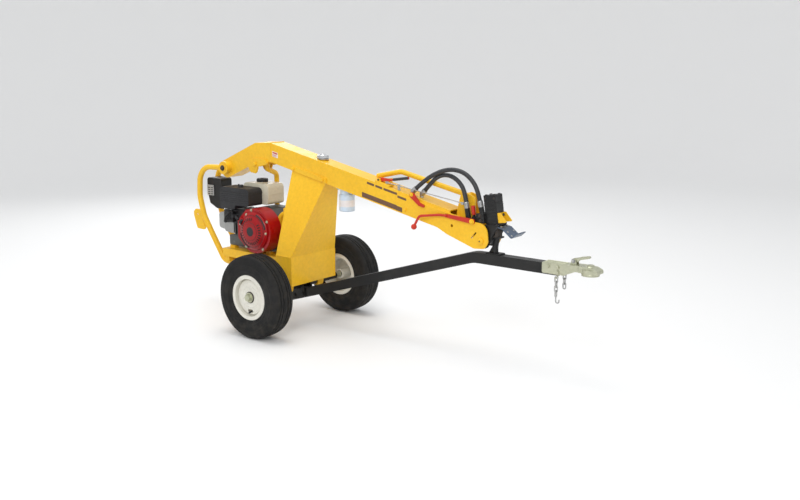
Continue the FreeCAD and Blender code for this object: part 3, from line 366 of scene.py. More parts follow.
def block(mesh, low, high):
    """A box between two corners."""
    size = Vector(high) - Vector(low)
    middle = (Vector(high) + Vector(low)) / 2
    matrix = Matrix.Translation(middle) @ Matrix.Diagonal((*size, 1))
    bmesh.ops.create_cube(mesh, size=1, matrix=matrix)


def slab(mesh, outline, y0, y1):
    """A plate with an outline of points in the XZ plane, between two places across."""
    low = [mesh.verts.new((p.x, y0, p.z)) for p in outline]
    high = [mesh.verts.new((p.x, y1, p.z)) for p in outline]
    mesh.faces.new(low)
    mesh.faces.new(list(reversed(high)))
    join_rings(mesh, [low, high])


def tube(mesh, points, radius, segments=16, ends=True, wobble=None):
    """A round tube that follows points; wobble gives each ring its own radius factor."""
    points = [Vector(p) for p in points]
    side = basis(points[1] - points[0])[1]
    rings = []
    for i, here in enumerate(points):
        along = (points[min(i + 1, len(points) - 1)] - points[max(i - 1, 0)]).normalized()
        side = (side - along * side.dot(along)).normalized()
        factor = wobble(i) if wobble else 1
        rings.append(circle(mesh, here, side, along.cross(side), radius * factor, segments))
    join_rings(mesh, rings)
    if ends:
        cap_ends(mesh, rings)


def hex_head(mesh, place, direction, radius, height, washer=True):
    """A bolt's hexagon head with a chamfered top, standing on a washer."""
    base = 0.0
    if washer:
        base = height * 0.2
        turned(mesh, place, direction, ((0, radius * 1.35), (base, radius * 1.35)), 24)
    along, side, up = basis(direction)
    rings = [circle(mesh, Vector(place) + along * z, side, up, radius * factor, 6)
             for z, factor in ((base, 1.0), (base + height * 0.7, 1.0), (base + height, 0.86))]
    join_rings(mesh, rings)
    cap_ends(mesh, rings)


def ripple(i):
    """The radius factor of a weld bead's rings, in turn high and low."""
    return 1.0 if i % 2 else 0.8


def bead(mesh, start, end, radius=0.003):
    """A weld bead: a low rippled bar from start to end."""
    start, end = Vector(start), Vector(end)
    count = max(4, int((end - start).length / (radius * 0.7)))
    points = [start.lerp(end, i / count) for i in range(count + 1)]
    tube(mesh, points, radius, 8, wobble=ripple)


def bead_ring(mesh, middle, direction, ring_radius, radius=0.003):
    """A weld bead all the way round a circle square to direction."""
    _, side, up = basis(direction)
    count = max(16, int(2 * math.pi * ring_radius / (radius * 0.8)) // 2 * 2)
    points = []
    for k in range(count + 1):
        a = 2 * math.pi * k / count
        points.append(Vector(middle) + (side * math.cos(a) + up * math.sin(a)) * ring_radius)
    tube(mesh, points, radius, 8, ends=False, wobble=ripple)


# ---- Hoses ----
HOSE_OUTER = [(0.800, -0.032, 0.826), (0.843, -0.032, 0.862), (0.893, -0.032, 0.895),
              (0.950, -0.032, 0.921), (1.014, -0.031, 0.933), (1.075, -0.030, 0.922),
              (1.122, -0.030, 0.888), (1.151, -0.030, 0.844), (1.163, -0.030, 0.798)]
HOSE_INNER = [(0.840, -0.014, 0.818), (0.871, -0.014, 0.851), (0.906, -0.014, 0.885),
              (0.953, -0.017, 0.902), (1.003, -0.021, 0.898), (1.047, -0.025, 0.874),
              (1.078, -0.029, 0.835), (1.088, -0.030, 0.786)]
HOSES = (("hose_outer", HOSE_OUTER, 0.4612), ("hose_inner", HOSE_INNER, 0.3413))


def make_hose(name, route):
    """A pressure hose: a smooth line led by the route's points, with a round tube along it."""
    points = [at(*p) for p in route]
    curve = bpy.data.curves.new(name + "_line", "CURVE")
    curve.dimensions = "3D"
    curve.resolution_u = 12
    spline = curve.splines.new("NURBS")
    spline.points.add(len(points) - 1)
    for knot, point in zip(spline.points, points):
        knot.co = (*point, 1)
    spline.order_u = 3
    spline.use_endpoint_u = True
    line = bpy.data.objects.new(name + "_line", curve)
    bpy.context.scene.collection.objects.link(line)
    bpy.context.view_layer.update()
    sampled = bpy.data.meshes.new_from_object(line)
    path = [v.co.copy() for v in sampled.vertices]
    bpy.data.objects.remove(line)
    mesh = bmesh.new()
    tube(mesh, path, HOSE_R, 28)
    hose = piece(name + "_cover", mesh, None, "hose", replaces=(name,))
    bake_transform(hose)
    return path


def make_hose_ends(name, path):
    """Crimped collars where a hose meets its fittings."""
    for tag, end, inward, body in (("rear", path[0], path[1] - path[0], "boom"),
                                   ("head", path[-1], path[-2] - path[-1], "head")):
        out = -inward.normalized()
        mesh = bmesh.new()
        profile = [(-0.0002, 0.0118)]
        for k in range(5):
            start = 0.002 + k * 0.0052
            profile += [(start, 0.0134), (start + 0.0034, 0.0134), (start + 0.0040, 0.0126),
                        (start + 0.0048, 0.0126)]
        profile.append((0.0295, 0.0128))
        turned(mesh, end, out, profile, 32)
        piece(f"{name}_{tag}_collar", mesh, body, "steel")


# ---- Wheels ----
def make_tyre(name, side):
    """A trailer tyre with circumferential ribs, zigzag grooves and moulded sidewall rings."""
    middle = at(0, side * HALF_TRACK, AXLE_Z)
    half = []
    for y, r in ((0.0516, 0.1180), (0.0560, 0.1195), (0.0610, 0.1280), (0.0636, 0.1390),
                 (0.0648, 0.1400), (0.0652, 0.1425), (0.0658, 0.1490), (0.0660, 0.1560),
                 (0.0656, 0.1660), (0.0650, 0.1720), (0.0657, 0.1732), (0.0654, 0.1760),
                 (0.0640, 0.1772), (0.0632, 0.1880), (0.0612, 0.1990), (0.0570, 0.2085),
                 (0.0500, 0.2142)):
        half.append((y, r, False))
    crown = 1.4                         # fall of the tread towards its edges, per metre squared
    groove = TYRE_R - 0.0075            # bottom of the grooves
    for rib_out, rib_in in ((0.046, 0.0345), (0.029, 0.018), (0.0125, 0.0)):
        half.append((rib_out, TYRE_R - 0.0006 - rib_out ** 2 * crown, True))
        if rib_in:
            half.append((rib_in, TYRE_R - 0.0003 - rib_in ** 2 * crown, True))
            half.append((rib_in - 0.001, groove, True))
            half.append((rib_in - 0.0045, groove, True))
    profile = half + [(-y, r, zigzag) for y, r, zigzag in reversed(half)]
    mesh = bmesh.new()
    count = 180
    rings = []
    for k in range(count):
        angle = 2 * math.pi * k / count
        swing = (abs((k % 6) - 3) - 1.5) * 0.0008
        ring = []
        for y, r, zigzag in profile:
            shift = swing if zigzag else 0.0
            ring.append(mesh.verts.new(middle + Vector((r * math.cos(angle), y + shift,
                                                        r * math.sin(angle)))))
        rings.append(ring)
    join_rings(mesh, rings, close=True)
    piece(f"tyre_{name}_ribbed", mesh, f"wheel_{name}", "tyre", replaces=(f"tyre_{name}",))


def make_rim(name, side):
    """Rolled lips, pressed rings on the disc, its weld, the valve and a collar on the hub."""
    body = f"wheel_{name}"
    middle = at(0, side * HALF_TRACK, AXLE_Z)
    out = Vector((0, side, 0))
    mesh = bmesh.new()
    for face in (-1, 1):
        lip = [(0.0520 * face + 0.0030 * math.cos(a) * face, 0.1155 + 0.0030 * math.sin(a))
               for a in (2 * math.pi * k / 10 for k in range(10))]
        lathe(mesh, middle, out, lip, 96)
    inner = [(0.0415, 0.052), (0.0434, 0.0535), (0.0438, 0.056), (0.0434, 0.0585), (0.0415, 0.06)]
    lathe(mesh, middle, out, inner, 72, close=False)
    outer = [(0.037, 0.0835), (0.0402, 0.085), (0.0398, 0.0885), (0.035, 0.0905)]
    lathe(mesh, middle, out, outer, 96, close=False)
    piece(f"rim_{name}_pressings", mesh, body, "cream")

    mesh = bmesh.new()
    bead_ring(mesh, middle + out * 0.0262, out, 0.0985, 0.0022)
    piece(f"rim_{name}_weld", mesh, body, "cream")

    mesh = bmesh.new()
    valve = middle + Vector((0, side * 0.02, -0.072))
    turned(mesh, valve, (0, side, -0.25), ((0, 0.0075), (0.006, 0.0070), (0.012, 0.0048),
                                            (0.022, 0.0044), (0.023, 0.0052), (0.032, 0.0050),
                                            (0.034, 0.0036)), 20)
    piece(f"valve_{name}", mesh, body, "hose", bevel=0.0004)

    mesh = bmesh.new()
    start = 0.0418
    rim = [(start, 0.0262), (start, 0.0300), (start + 0.0030, 0.0300), (start + 0.0050, 0.0280),
           (start + 0.0052, 0.0262)]
    lathe(mesh, middle, out, rim, 48)
    piece(f"hub_{name}_collar", mesh, body, "iron")


def make_axle_nuts():
    for name, side in SIDES:
        mesh = bmesh.new()
        start = at(0, side * 0.3925, AXLE_Z)
        out = Vector((0, side, 0))
        hex_head(mesh, start, out, 0.0195, 0.017)
        turned(mesh, start + out * 0.015, out, ((0, 0.0126), (0.0035, 0.0126), (0.0047, 0.011)), 32)
        piece(f"axle_nut_{name}", mesh, "chassis", "zinc", bevel=0.0005)


# ---- Tow bar, hitch and chassis details ----
def make_tow_bar_details():
    """Weld beads at the clamp and at the post's foot, and the clamp's bolts."""
    mesh = bmesh.new()
    for side in (-1, 1):
        y = side * 0.0334
        bead(mesh, at(-0.04, y, 0.15), at(0.038, y, 0.173), 0.0026)
        bead_ring(mesh, at(0, y, AXLE_Z - 0.002), (0, 1, 0), 0.0205, 0.0024)
    foot = at(1.233, 0, 0.553)
    half, wide, lift = 0.036, 0.025, 0.0005
    for x0, y0, x1, y1 in ((-half, -wide, half, -wide), (-half, wide, half, wide),
                           (-half, -wide, -half, wide), (half, -wide, half, wide)):
        bead(mesh, foot + Vector((x0, y0, lift)), foot + Vector((x1, y1, lift)), 0.0024)
    bead_ring(mesh, foot + Vector((0, 0, 0.0068)), (0, 0, 1), 0.015, 0.0026)
    piece("tow_bar_welds", mesh, "chassis", "black")

    mesh = bmesh.new()
    slope = (TOW_FRONT[1] - TOW_REAR[1]) / (TOW_FRONT[0] - TOW_REAR[0])
    for side in (-1, 1):
        for x in (-0.03, 0.03):
            hex_head(mesh, at(x, side * 0.0332, 0.1779 + slope * x), (0, side, 0), 0.0092, 0.0066)
    piece("axle_clamp_bolts", mesh, "chassis", "black", bevel=0.0004)


def make_coupler_details():
    """The coupler's bolts, rolled edges and cap, and the latch's pins and ridges."""
    mesh = bmesh.new()
    for x, height in ((1.525, 0.014), (1.572, 0.014), (1.572, -0.009)):
        for side in (-1, 1):
            hex_head(mesh, at(x, side * 0.0294, TOW_FRONT[1] + height), (0, side, 0), 0.0082, 0.006)
    piece("coupler_hex_bolts", mesh, "chassis", "zinc", bevel=0.0004,
          replaces=("coupler_bolts",))

    mesh = bmesh.new()
    for side in (-1, 1):
        tube(mesh, [at(1.51, side * 0.0292, 0.5135), at(1.595, side * 0.0292, 0.5135)], 0.0022, 10)
        tube(mesh, [at(1.5, side * 0.012, 0.5576), at(1.604, side * 0.012, 0.5576)], 0.0026, 10)
    bead_ring(mesh, at(1.716, 0, 0.5285), (0, 0, 1), 0.0392, 0.0018)
    turned(mesh, at(1.716, 0, 0.562), (0, 0, 1), ((0, 0.016), (0.004, 0.0155), (0.006, 0.01)), 32)
    piece("coupler_pressings", mesh, "chassis", "zinc")

    mesh = bmesh.new()
    for side in (-1, 1):
        hex_head(mesh, at(1.64, side * 0.015, 0.576), (0, side, 0), 0.007, 0.005)
    piece("latch_pin_heads", mesh, "chassis", "steel", bevel=0.0003)

    mesh = bmesh.new()
    latch_x, latch_z, latch_slope = 1.658, 0.5924, 0.2037
    for k in range(5):
        x = 1.672 + k * 0.008
        z = latch_z + (x - latch_x) * latch_slope
        tube(mesh, [at(x, -0.0085, z), at(x, 0.0085, z)], 0.0016, 8)
    piece("coupler_latch_ridges", mesh, "coupler_latch", "zinc")


# ---- Boom ----
def beam_strip(mesh, x0, x1, h0, h1, y0, y1):
    """A flat strip along the beam, from x0 to x1 and between two heights above its lower edge."""
    corners = [at(x, 0, beam_z(x, h)) for x, h in ((x0, h0), (x1, h0), (x1, h1), (x0, h1))]
    slab(mesh, corners, y0, y1)


def make_boom_markings():
    """Stripes and a label without letters."""
    mesh = bmesh.new()
    for side in (-1, 1):
        skin = sorted((side * (BEAM_HALF + 0.0001), side * (BEAM_HALF + 0.0005)))
        cheek = sorted((side * (CHEEK_OUT + 0.0001), side * (CHEEK_OUT + 0.0005)))
        beam_strip(mesh, 0.473, 0.6995, 0.006, 0.03, *skin)
        beam_strip(mesh, 0.7005, 0.733, 0.008, 0.03, *cheek)
        # dark dashes about 12 to 23 mm below the beam's top edge, and a dark band on the cheek
        for x0, x1 in ((0.506, 0.552), (0.56, 0.604), (0.612, 0.696)):
            beam_strip(mesh, x0, x1, 0.079, 0.09, *skin)
        beam_strip(mesh, 0.704, 0.758, 0.07, 0.081, *cheek)
    piece("boom_stripes", mesh, "boom", "brown", soft=False)

    near = -BEAM_HALF - 0.0001
    mesh = bmesh.new()
    beam_strip(mesh, -0.16, -0.118, 0.034, 0.062, near - 0.0004, near)
    piece("boom_label", mesh, "boom", "white", soft=False)
    mesh = bmesh.new()
    print_y = (near - 0.0007, near - 0.0003)
    beam_strip(mesh, -0.157, -0.121, 0.052, 0.059, *print_y)
    for k in range(3):
        h = 0.037 + k * 0.0045
        beam_strip(mesh, -0.157, -0.128, h, h + 0.0018, *print_y)
    piece("boom_label_bars", mesh, "boom", "orange_red", soft=False)


def make_boom_welds():
    """Beads at the bend, round the kink brackets, along the cheeks and round the rear hub."""
    mesh = bmesh.new()
    seam = BEAM_REAR[0]
    low, top = beam_z(seam), beam_z(seam, BEAM)
    for side in (-1, 1):
        bead(mesh, at(seam, side * BEAM_HALF, low), at(seam, side * BEAM_HALF, top), 0.003)
    for z in (low, top):
        bead(mesh, at(seam, -BEAM_HALF, z), at(seam, BEAM_HALF, z), 0.003)
    plate = ((-0.352, 0.866), (-0.326, 0.824), (-0.284, 0.820), (-0.268, 0.858), (-0.192, 0.876),
             (-0.206, 0.902), (-0.316, 0.902))
    seams = (((0.706, 0.006), (0.700, 0.085), 0.003), ((0.712, 0.0874), (1.080, 0.0874), 0.0026),
             ((-0.010, 0.027), (0.225, 0.027), 0.0026))
    for side in (-1, 1):
        y = side * (BEAM_HALF + 0.0006)
        for a, b in zip(plate, plate[1:] + plate[:1]):
            start, end = Vector(a).lerp(Vector(b), 0.16), Vector(a).lerp(Vector(b), 0.84)
            bead(mesh, at(start.x, y, start.y), at(end.x, y, end.y), 0.0026)
        for (x0, h0), (x1, h1), radius in seams:
            bead(mesh, at(x0, y, beam_z(x0, h0)), at(x1, y, beam_z(x1, h1)), radius)
        hub = at(REAR_HUB[0], side * (BEAM_HALF + 0.0005), REAR_HUB[1])
        bead_ring(mesh, hub, (0, 1, 0), 0.0372, 0.003)
    piece("boom_welds", mesh, "boom", "yellow")


def make_boom_bolts():
    """Yellow bolt heads and hub plates, and the bare steel heads of the hub and the pivot."""
    mesh = bmesh.new()
    for side in (-1, 1):
        for k in range(2):
            turned(mesh, at(REAR_HUB[0], side * (0.0866 + 0.0005 * k), REAR_HUB[1]), (0, side, 0),
                   ((0, 0.022 - 0.004 * k), (0.0025, 0.022 - 0.004 * k)), 40)
        hex_head(mesh, at(-0.288, side * (BEAM_HALF + 0.0081), 0.871), (0, side, 0), 0.0122, 0.0078)
        for x in (0.752, 0.85):
            hex_head(mesh, at(x, side * CHEEK_OUT, beam_z(x, 0.026)), (0, side, 0), 0.0078, 0.006)
        for x in (0.002, 0.21):
            skirt = at(x, side * (BEAM_HALF + 0.0063), beam_z(x, 0.014))
            hex_head(mesh, skirt, (0, side, 0), 0.0086, 0.0076)
        turned(mesh, at(PIVOT[0], side * (CHEEK_OUT + 0.007), PIVOT[1]), (0, side, 0),
               ((0, 0.0150), (0.0012, 0.0135), (0.0016, 0.0060), (0.0042, 0.0052)), 36)
    for s in (-1, 1):
        hex_head(mesh, at(1.062, 0.02 + s * 0.0262, 0.8), (0, s, 0), 0.011, 0.009)
    out = -CHEEK_OUT - 0.0071
    hex_head(mesh, at(0.794, out, 0.798), (0, -1, 0), 0.0075, 0.0055)
    hex_head(mesh, at(1.143, out - 0.0012, 0.703), (0, -1, 0), 0.0098, 0.0068)
    piece("boom_hex_bolts", mesh, "boom", "yellow", bevel=0.0004,
          replaces=("boom_bolts",))

    mesh = bmesh.new()
    for side in (-1, 1):
        hex_head(mesh, at(REAR_HUB[0], side * 0.089, REAR_HUB[1]), (0, side, 0), 0.012, 0.0085)
        pin_end = at(PIVOT[0], side * (CHEEK_OUT + 0.0088), PIVOT[1])
        hex_head(mesh, pin_end, (0, side, 0), 0.0042, 0.003, washer=False)
    hex_head(mesh, at(-0.442, -0.1122, 0.565), (0, -1, 0), 0.0048, 0.0036)
    turned(mesh, at(0.576, -0.048, 0.851), (0, -1, 0), ((0, 0.0052), (0.002, 0.0048)), 20)
    piece("hub_bolts", mesh, "boom", "iron", bevel=0.0004)


def make_control_rod():
    """A thin rod along the top of the beam, with an eye at both ends and one bracket."""
    mesh = bmesh.new()
    points = [at(x, -0.040, z) for x, z in ((0.625, 0.8400), (0.680, 0.8330), (0.860, 0.8090),
                                            (1.040, 0.7850), (1.075, 0.7790))]
    tube(mesh, points, 0.0026, 12)
    eye = Vector((0.007, 0.004, 0.006))
    for spot in (points[0], points[-1]):
        block(mesh, spot - eye, spot + eye)
    foot = beam_z(0.7, BEAM) - 0.001
    block(mesh, at(0.694, -0.044, foot), at(0.706, -0.036, 0.8363))
    piece("control_rod", mesh, "boom", "steel", bevel=0.0006)


def make_boom_nose():
    """The weld bead round the beam's front end and a cover plate over it."""
    mesh = bmesh.new()
    nose_x, across = 1.0104, 0.046
    end = at(nose_x, 0, 0)
    low, top = beam_z(nose_x), beam_z(nose_x, BEAM)
    for y in (-across, across):
        bead(mesh, end + Vector((0, y, low + 0.004)), end + Vector((0, y, top - 0.006)), 0.0024)
    bead(mesh, end + Vector((0, -across, low + 0.003)), end + Vector((0, across, low + 0.003)), 0.0024)
    piece("boom_end_weld", mesh, "boom", "yellow")

    mesh = bmesh.new()
    beam_strip(mesh, 1.0102, 1.05, 0.072, 0.078, -0.0506, -0.0058)
    piece("nose_cover", mesh, "boom", "yellow", bevel=0.0008)


def make_tank_welds():
    """Beads round the tank's wide foot, up its corners and at the axle bearings."""
    x0, x1 = -0.028, 0.085
    half, low, top = 0.17, 0.258, 0.413
    mesh = bmesh.new()
    for y in (-half, half):
        bead(mesh, at(x0 + 0.002, y, top), at(x1 - 0.002, y, top), 0.0028)
    bead(mesh, at(x0, -half + 0.002, top), at(x0, half - 0.002, top), 0.0028)
    for x in (x0, x1):
        for y in (-half, half):
            bead(mesh, at(x, y, low + 0.001), at(x, y, top - 0.002), 0.0022)
    for side in (-1, 1):
        bead(mesh, at(x0, side * half, low), at(x1, side * half, low), 0.0022)
        for y in (0.096, 0.14):
            bead(mesh, at(-0.026, side * y, 0.2565), at(0.026, side * y, 0.2565), 0.0028)
    piece("tank_welds", mesh, "boom", "yellow")


def make_filler_details():
    """The knurled grip and raised ring of the filler cap, and the bolted flange under it."""
    foot = at(FILLER_X, 0, beam_z(FILLER_X, BEAM))
    mesh = bmesh.new()
    for way in around(30):
        spot = foot + way * 0.0302
        tube(mesh, [spot + Vector((0, 0, 0.0085)), spot + Vector((0, 0, 0.02))], 0.0017, 6)
    ridge = ((0.0236, 0.018), (0.0262, 0.017), (0.0262, 0.012), (0.024, 0.0115))
    lathe(mesh, foot, (0, 0, 1), ridge, 40)
    piece("filler_cap_knurl", mesh, "filler_cap", "chrome")

    mesh = bmesh.new()
    flange = ((0.0015, 0.025), (0.0015, 0.033), (0.0048, 0.033), (0.0062, 0.025))
    lathe(mesh, foot, (0, 0, 1), flange, 48)
    for way in around(5, 0.3):
        spot = foot + way * 0.029
        hex_head(mesh, spot + Vector((0, 0, 0.0045)), (0, 0, 1), 0.003, 0.0022, washer=False)
    piece("filler_flange", mesh, "boom", "steel")


def make_filter_details():
    """Beads and grips of the return filter, its pale band and the bolts of its head."""
    mesh = bmesh.new()
    can = 0.0402
    bulge = ((-0.0022, can - 0.001), (-0.0012, can + 0.001), (0.0012, can + 0.001), (0.0022, can - 0.001))
    for z in (0.672, beam_z(FILTER_X) - 0.008 - 0.03):
        lathe(mesh, at(FILTER_X, 0, z), (0, 0, 1), bulge, 60, close=False)
    for way in around(20):
        spot = at(FILTER_X, 0, 0) + way * 0.0366
        tube(mesh, [spot + Vector((0, 0, 0.6655)), spot + Vector((0, 0, 0.6735))], 0.003, 8)
    piece("filter_rings", mesh, "boom", "filter")

    mesh = bmesh.new()
    band = ((-0.022, 0.0401), (-0.022, 0.0404), (0.012, 0.0404), (0.012, 0.0401))
    lathe(mesh, at(FILTER_X, 0, 0.712), (0, 0, 1), band, 72)
    piece("filter_band", mesh, "boom", "white")

    mesh = bmesh.new()
    for x in (FILTER_X - 0.037, FILTER_X + 0.037):
        for y in (-0.027, 0.027):
            hex_head(mesh, at(x, y, beam_z(x) - 0.0082), (0, 0, -1), 0.0058, 0.005)
    piece("filter_bolts", mesh, "boom", "zinc", bevel=0.0004)


# ---- Auger head ----
def make_head_details():
    """Bolts, seams, welds, plugs, boot and rivets of the auger head, and its hub's grooves."""
    up = head_at(0, 0, 1) - head_at(0, 0, 0)
    forward = head_at(1, 0, 0) - head_at(0, 0, 0)
    mesh = bmesh.new()
    for a in (-0.022, 0.022):
        for y in (-0.02, 0.02):
            hex_head(mesh, head_at(a, y, 0.136), up, 0.0062, 0.0028)
    for a in (-0.024, 0.024):
        for side in (-1, 1):
            hex_head(mesh, head_at(a, side * 0.03, 0.12), (0, side, 0), 0.0046, 0.0036)
    for side in (-1, 1):
        hex_head(mesh, head_at(0.0382, side * 0.013, 0.04), forward, 0.0052, 0.004)
    piece("motor_bolts", mesh, "head", "iron", bevel=0.0004)

    mesh = bmesh.new()
    for along in (0.0175, 0.053, 0.088):
        corners = [(-0.0326, -0.0306), (0.0326, -0.0306), (0.0326, 0.0306), (-0.0326, 0.0306)]
        for (a0, y0), (a1, y1) in zip(corners, corners[1:] + corners[:1]):
            tube(mesh, [head_at(a0, y0, along), head_at(a1, y1, along)], 0.0011, 8)
    piece("motor_seams", mesh, "head", "black")

    mesh = bmesh.new()
    px, pz = PIVOT
    for side in (-1, 1):
        y = side * 0.0419
        bead(mesh, at(px - 0.02, y * 0.82, pz + 0.026), at(px + 0.022, y * 0.82, pz + 0.026), 0.0024)
        bead(mesh, head_at(-0.033, y, -0.0012), head_at(0.033, y, -0.0012), 0.0024)
    piece("yoke_welds", mesh, "head", "black")

    mesh = bmesh.new()
    for across, along in ((-0.053, 0.02), (-0.053, 0.044), (-0.125, 0.021)):
        hex_head(mesh, head_at(across, -0.044, along), (0, -1, 0), 0.007, 0.0048)
    piece("port_plugs", mesh, "head", "iron", bevel=0.0004)

    mesh = bmesh.new()
    base = head_at(-0.094, -0.03, 0.034)
    fold = []
    for k in range(7):
        start, taper = k * 0.0024, k * 0.0008
        fold += [(start, 0.012 - taper), (start + 0.0012, 0.0102 - taper)]
    turned(mesh, base, up, fold, 32)
    piece("spool_boot", mesh, "head", "plastic")

    mesh = bmesh.new()
    dome = ((0, 0.0055), (0.0035, 0.005), (0.0048, 0.003))
    for x, z in ((1.278, 0.6885), (1.312, 0.668), (1.334, 0.652)):
        for y in (-0.026, 0.026):
            turned(mesh, at(x, y, z - 0.0015), (0.5, 0, 0.82), dome, 16)
    piece("skid_rivets", mesh, "head", "steel")

    mesh = bmesh.new()
    low = head_at(0, 0, -0.06)
    for along in (0.006, 0.028, 0.044):
        edge = ((along - 0.0012, 0.0246), (along, 0.0259), (along + 0.0012, 0.0246))
        lathe(mesh, low, up, edge, 48, close=False)
    piece("output_hub_grooves", mesh, "output_hub", "iron")


def make_lever_details():
    """The ribbed grip of the hold-down latch and the rolled end of the folding handle."""
    mesh = bmesh.new()
    start, end = at(0.66, -0.031, 0.8565), at(0.751, -0.031, 0.871)
    count = 40
    points = [start.lerp(end, k / count) for k in range(count + 1)]
    tube(mesh, points, 0.0076, 20, wobble=lambda i: 1.0 if i % 4 < 2 else 0.88)
    piece("latch_grip", mesh, "latch_lever", "hose")

    mesh = bmesh.new()
    tip = at(0.52, 0.02, beam_z(0.52, BEAM) + 0.014)
    onward = (at(0.668, 0.02, 0.892) - tip).normalized()
    cap = ((-0.0003, 0.007), (-0.0003, 0.0134), (0.02, 0.0136), (0.021, 0.0131))
    lathe(mesh, tip, onward, cap, 36, close=False)
    piece("handle_end_cap", mesh, "handle", "yellow")


# ---- Engine ----
def make_recoil_cover():
    """The red starter cover: a stepped dome with a ring of cooling slots and a dark centre."""
    cx, cz = CRANK
    middle = at(cx, 0, cz)
    out = Vector((0, -1, 0))
    mesh = bmesh.new()
    profile = [(0.1684, 0.0900), (0.1684, 0.1030), (0.1700, 0.1040), (0.1745, 0.1040), (0.1765, 0.1025),
               (0.1800, 0.0985), (0.1835, 0.0930), (0.1852, 0.0880), (0.1856, 0.0860), (0.1870, 0.0850),
               (0.1885, 0.0800), (0.1935, 0.0730), (0.1975, 0.0600), (0.1990, 0.0500), (0.1990, 0.0480),
               (0.2008, 0.0470), (0.2014, 0.0400), (0.2016, 0.0300), (0.2018, 0.0150), (0.2018, 0.0020)]
    rings = lathe(mesh, middle, out, profile, 96, close=False)
    mesh.faces.new(rings[-1])
    piece("recoil_dome", mesh, "boom", "red", replaces=("recoil_cover",))

    # The slots are flush dark blocks in the closed dome: painted shade of the openings.
    mesh = bmesh.new()
    for k in range(30):
        if k in (4, 5, 6):              # a plain stretch in the ring of slots
            continue
        a = 2 * math.pi * k / 30
        way = Vector((math.cos(a), 0, math.sin(a)))
        side = Vector((-math.sin(a), 0, math.cos(a)))
        corners = []
        for r, y in ((0.059, 0.1988), (0.074, 0.1941)):
            for s in (-1, 1):
                corners.append(middle + way * r + side * s * 0.0032 * r / 0.066 + out * y)
        low = [mesh.verts.new(p - out * 0.004) for p in corners]
        top = [mesh.verts.new(p) for p in corners]
        mesh.faces.new([top[i] for i in (0, 1, 3, 2)])
        mesh.faces.new([low[i] for i in (2, 3, 1, 0)])
        for i, j in ((0, 1), (1, 3), (3, 2), (2, 0)):
            mesh.faces.new((top[i], top[j], low[j], low[i]))
    piece("recoil_slots", mesh, "boom", "dark", bevel=0.0004)

    mesh = bmesh.new()
    r = 0.0955
    for low_turn, high_turn in ((0.2, 1.25), (3.35, 4.4)):
        points = []
        for k in range(25):
            a = low_turn + (high_turn - low_turn) * k / 24
            points.append(middle + Vector((math.cos(a) * r, 0, math.sin(a) * r)) + out * 0.1818)
        tube(mesh, points, 0.0044, 12)
    piece("recoil_trim", mesh, "boom", "plastic")

    mesh = bmesh.new()
    for r, y in ((0.0865, 0.1858), (0.0478, 0.1996)):
        bead_ring(mesh, middle + out * y, out, r, 0.0013)
    turned(mesh, middle + out * 0.201, out, ((0, 0.026), (0.0012, 0.025)), 48)
    port = middle + Vector((-0.078, 0, 0.041)) + out * 0.1836
    turned(mesh, port, (-0.84, -0.2, 0.5), ((0, 0.015), (0.01, 0.014), (0.014, 0.0105)), 28)
    piece("recoil_inserts", mesh, "boom", "plastic")

    mesh = bmesh.new()
    for k in range(3):
        a = math.pi / 2 + 2 * math.pi * k / 3 + 0.5
        spot = middle + Vector((math.cos(a) * 0.0985, 0, math.sin(a) * 0.0985)) + out * 0.179
        hex_head(mesh, spot, out, 0.0055, 0.0045)
    for a in (0.55, 1.75, 2.9, 4.1, 5.3):
        spot = middle + Vector((math.cos(a) * 0.1135, 0, math.sin(a) * 0.1135)) + out * 0.168
        hex_head(mesh, spot, out, 0.0058, 0.0046)
    piece("cover_bolts", mesh, "boom", "zinc", bevel=0.0003)


def make_air_cleaner_details():
    """Ribs, a rim and posts of the air cleaner, and the wing knob on top of it."""
    mesh = bmesh.new()
    for k in range(7):
        z = 0.664 + k * 0.0105
        tube(mesh, [at(-0.455, -0.1652, z), at(-0.241, -0.1652, z)], 0.0015, 8)
    x0, x1, y0, y1, thick = -0.4626, -0.2336, -0.1655, -0.0635, 0.0012
    low_z, high_z = 0.7045, 0.7085      # above the ground, not from the datum
    corners = [at(x, y, 0) for x, y in ((x0, y0), (x1, y0), (x1, y1), (x0, y1))]
    for a, b in zip(corners, corners[1:] + corners[:1]):
        block_low = Vector((min(a.x, b.x) - thick, min(a.y, b.y) - thick, low_z))
        block_high = Vector((max(a.x, b.x) + thick, max(a.y, b.y) + thick, high_z))
        block(mesh, block_low, block_high)
    for x in (-0.452, -0.244):
        turned(mesh, at(x, -0.1, 0.7), (0, 0, 1), ((0, 0.005), (0.02, 0.005), (0.024, 0.0035)), 16)
    piece("air_cleaner_ribs", mesh, "boom", "plastic", bevel=0.0004)

    mesh = bmesh.new()
    knob = at(-0.348, -0.115, 0.7462)
    step = ((0, 0.016), (0.002, 0.016), (0.003, 0.011), (0.01, 0.01), (0.012, 0.008))
    turned(mesh, knob, (0, 0, 1), step, 32)
    for x in (0.014, -0.014):
        block(mesh, knob + Vector((x - 0.006, -0.0018, 0.004)), knob + Vector((x + 0.006, 0.0018, 0.014)))
    piece("air_cleaner_knob", mesh, "boom", "plastic")


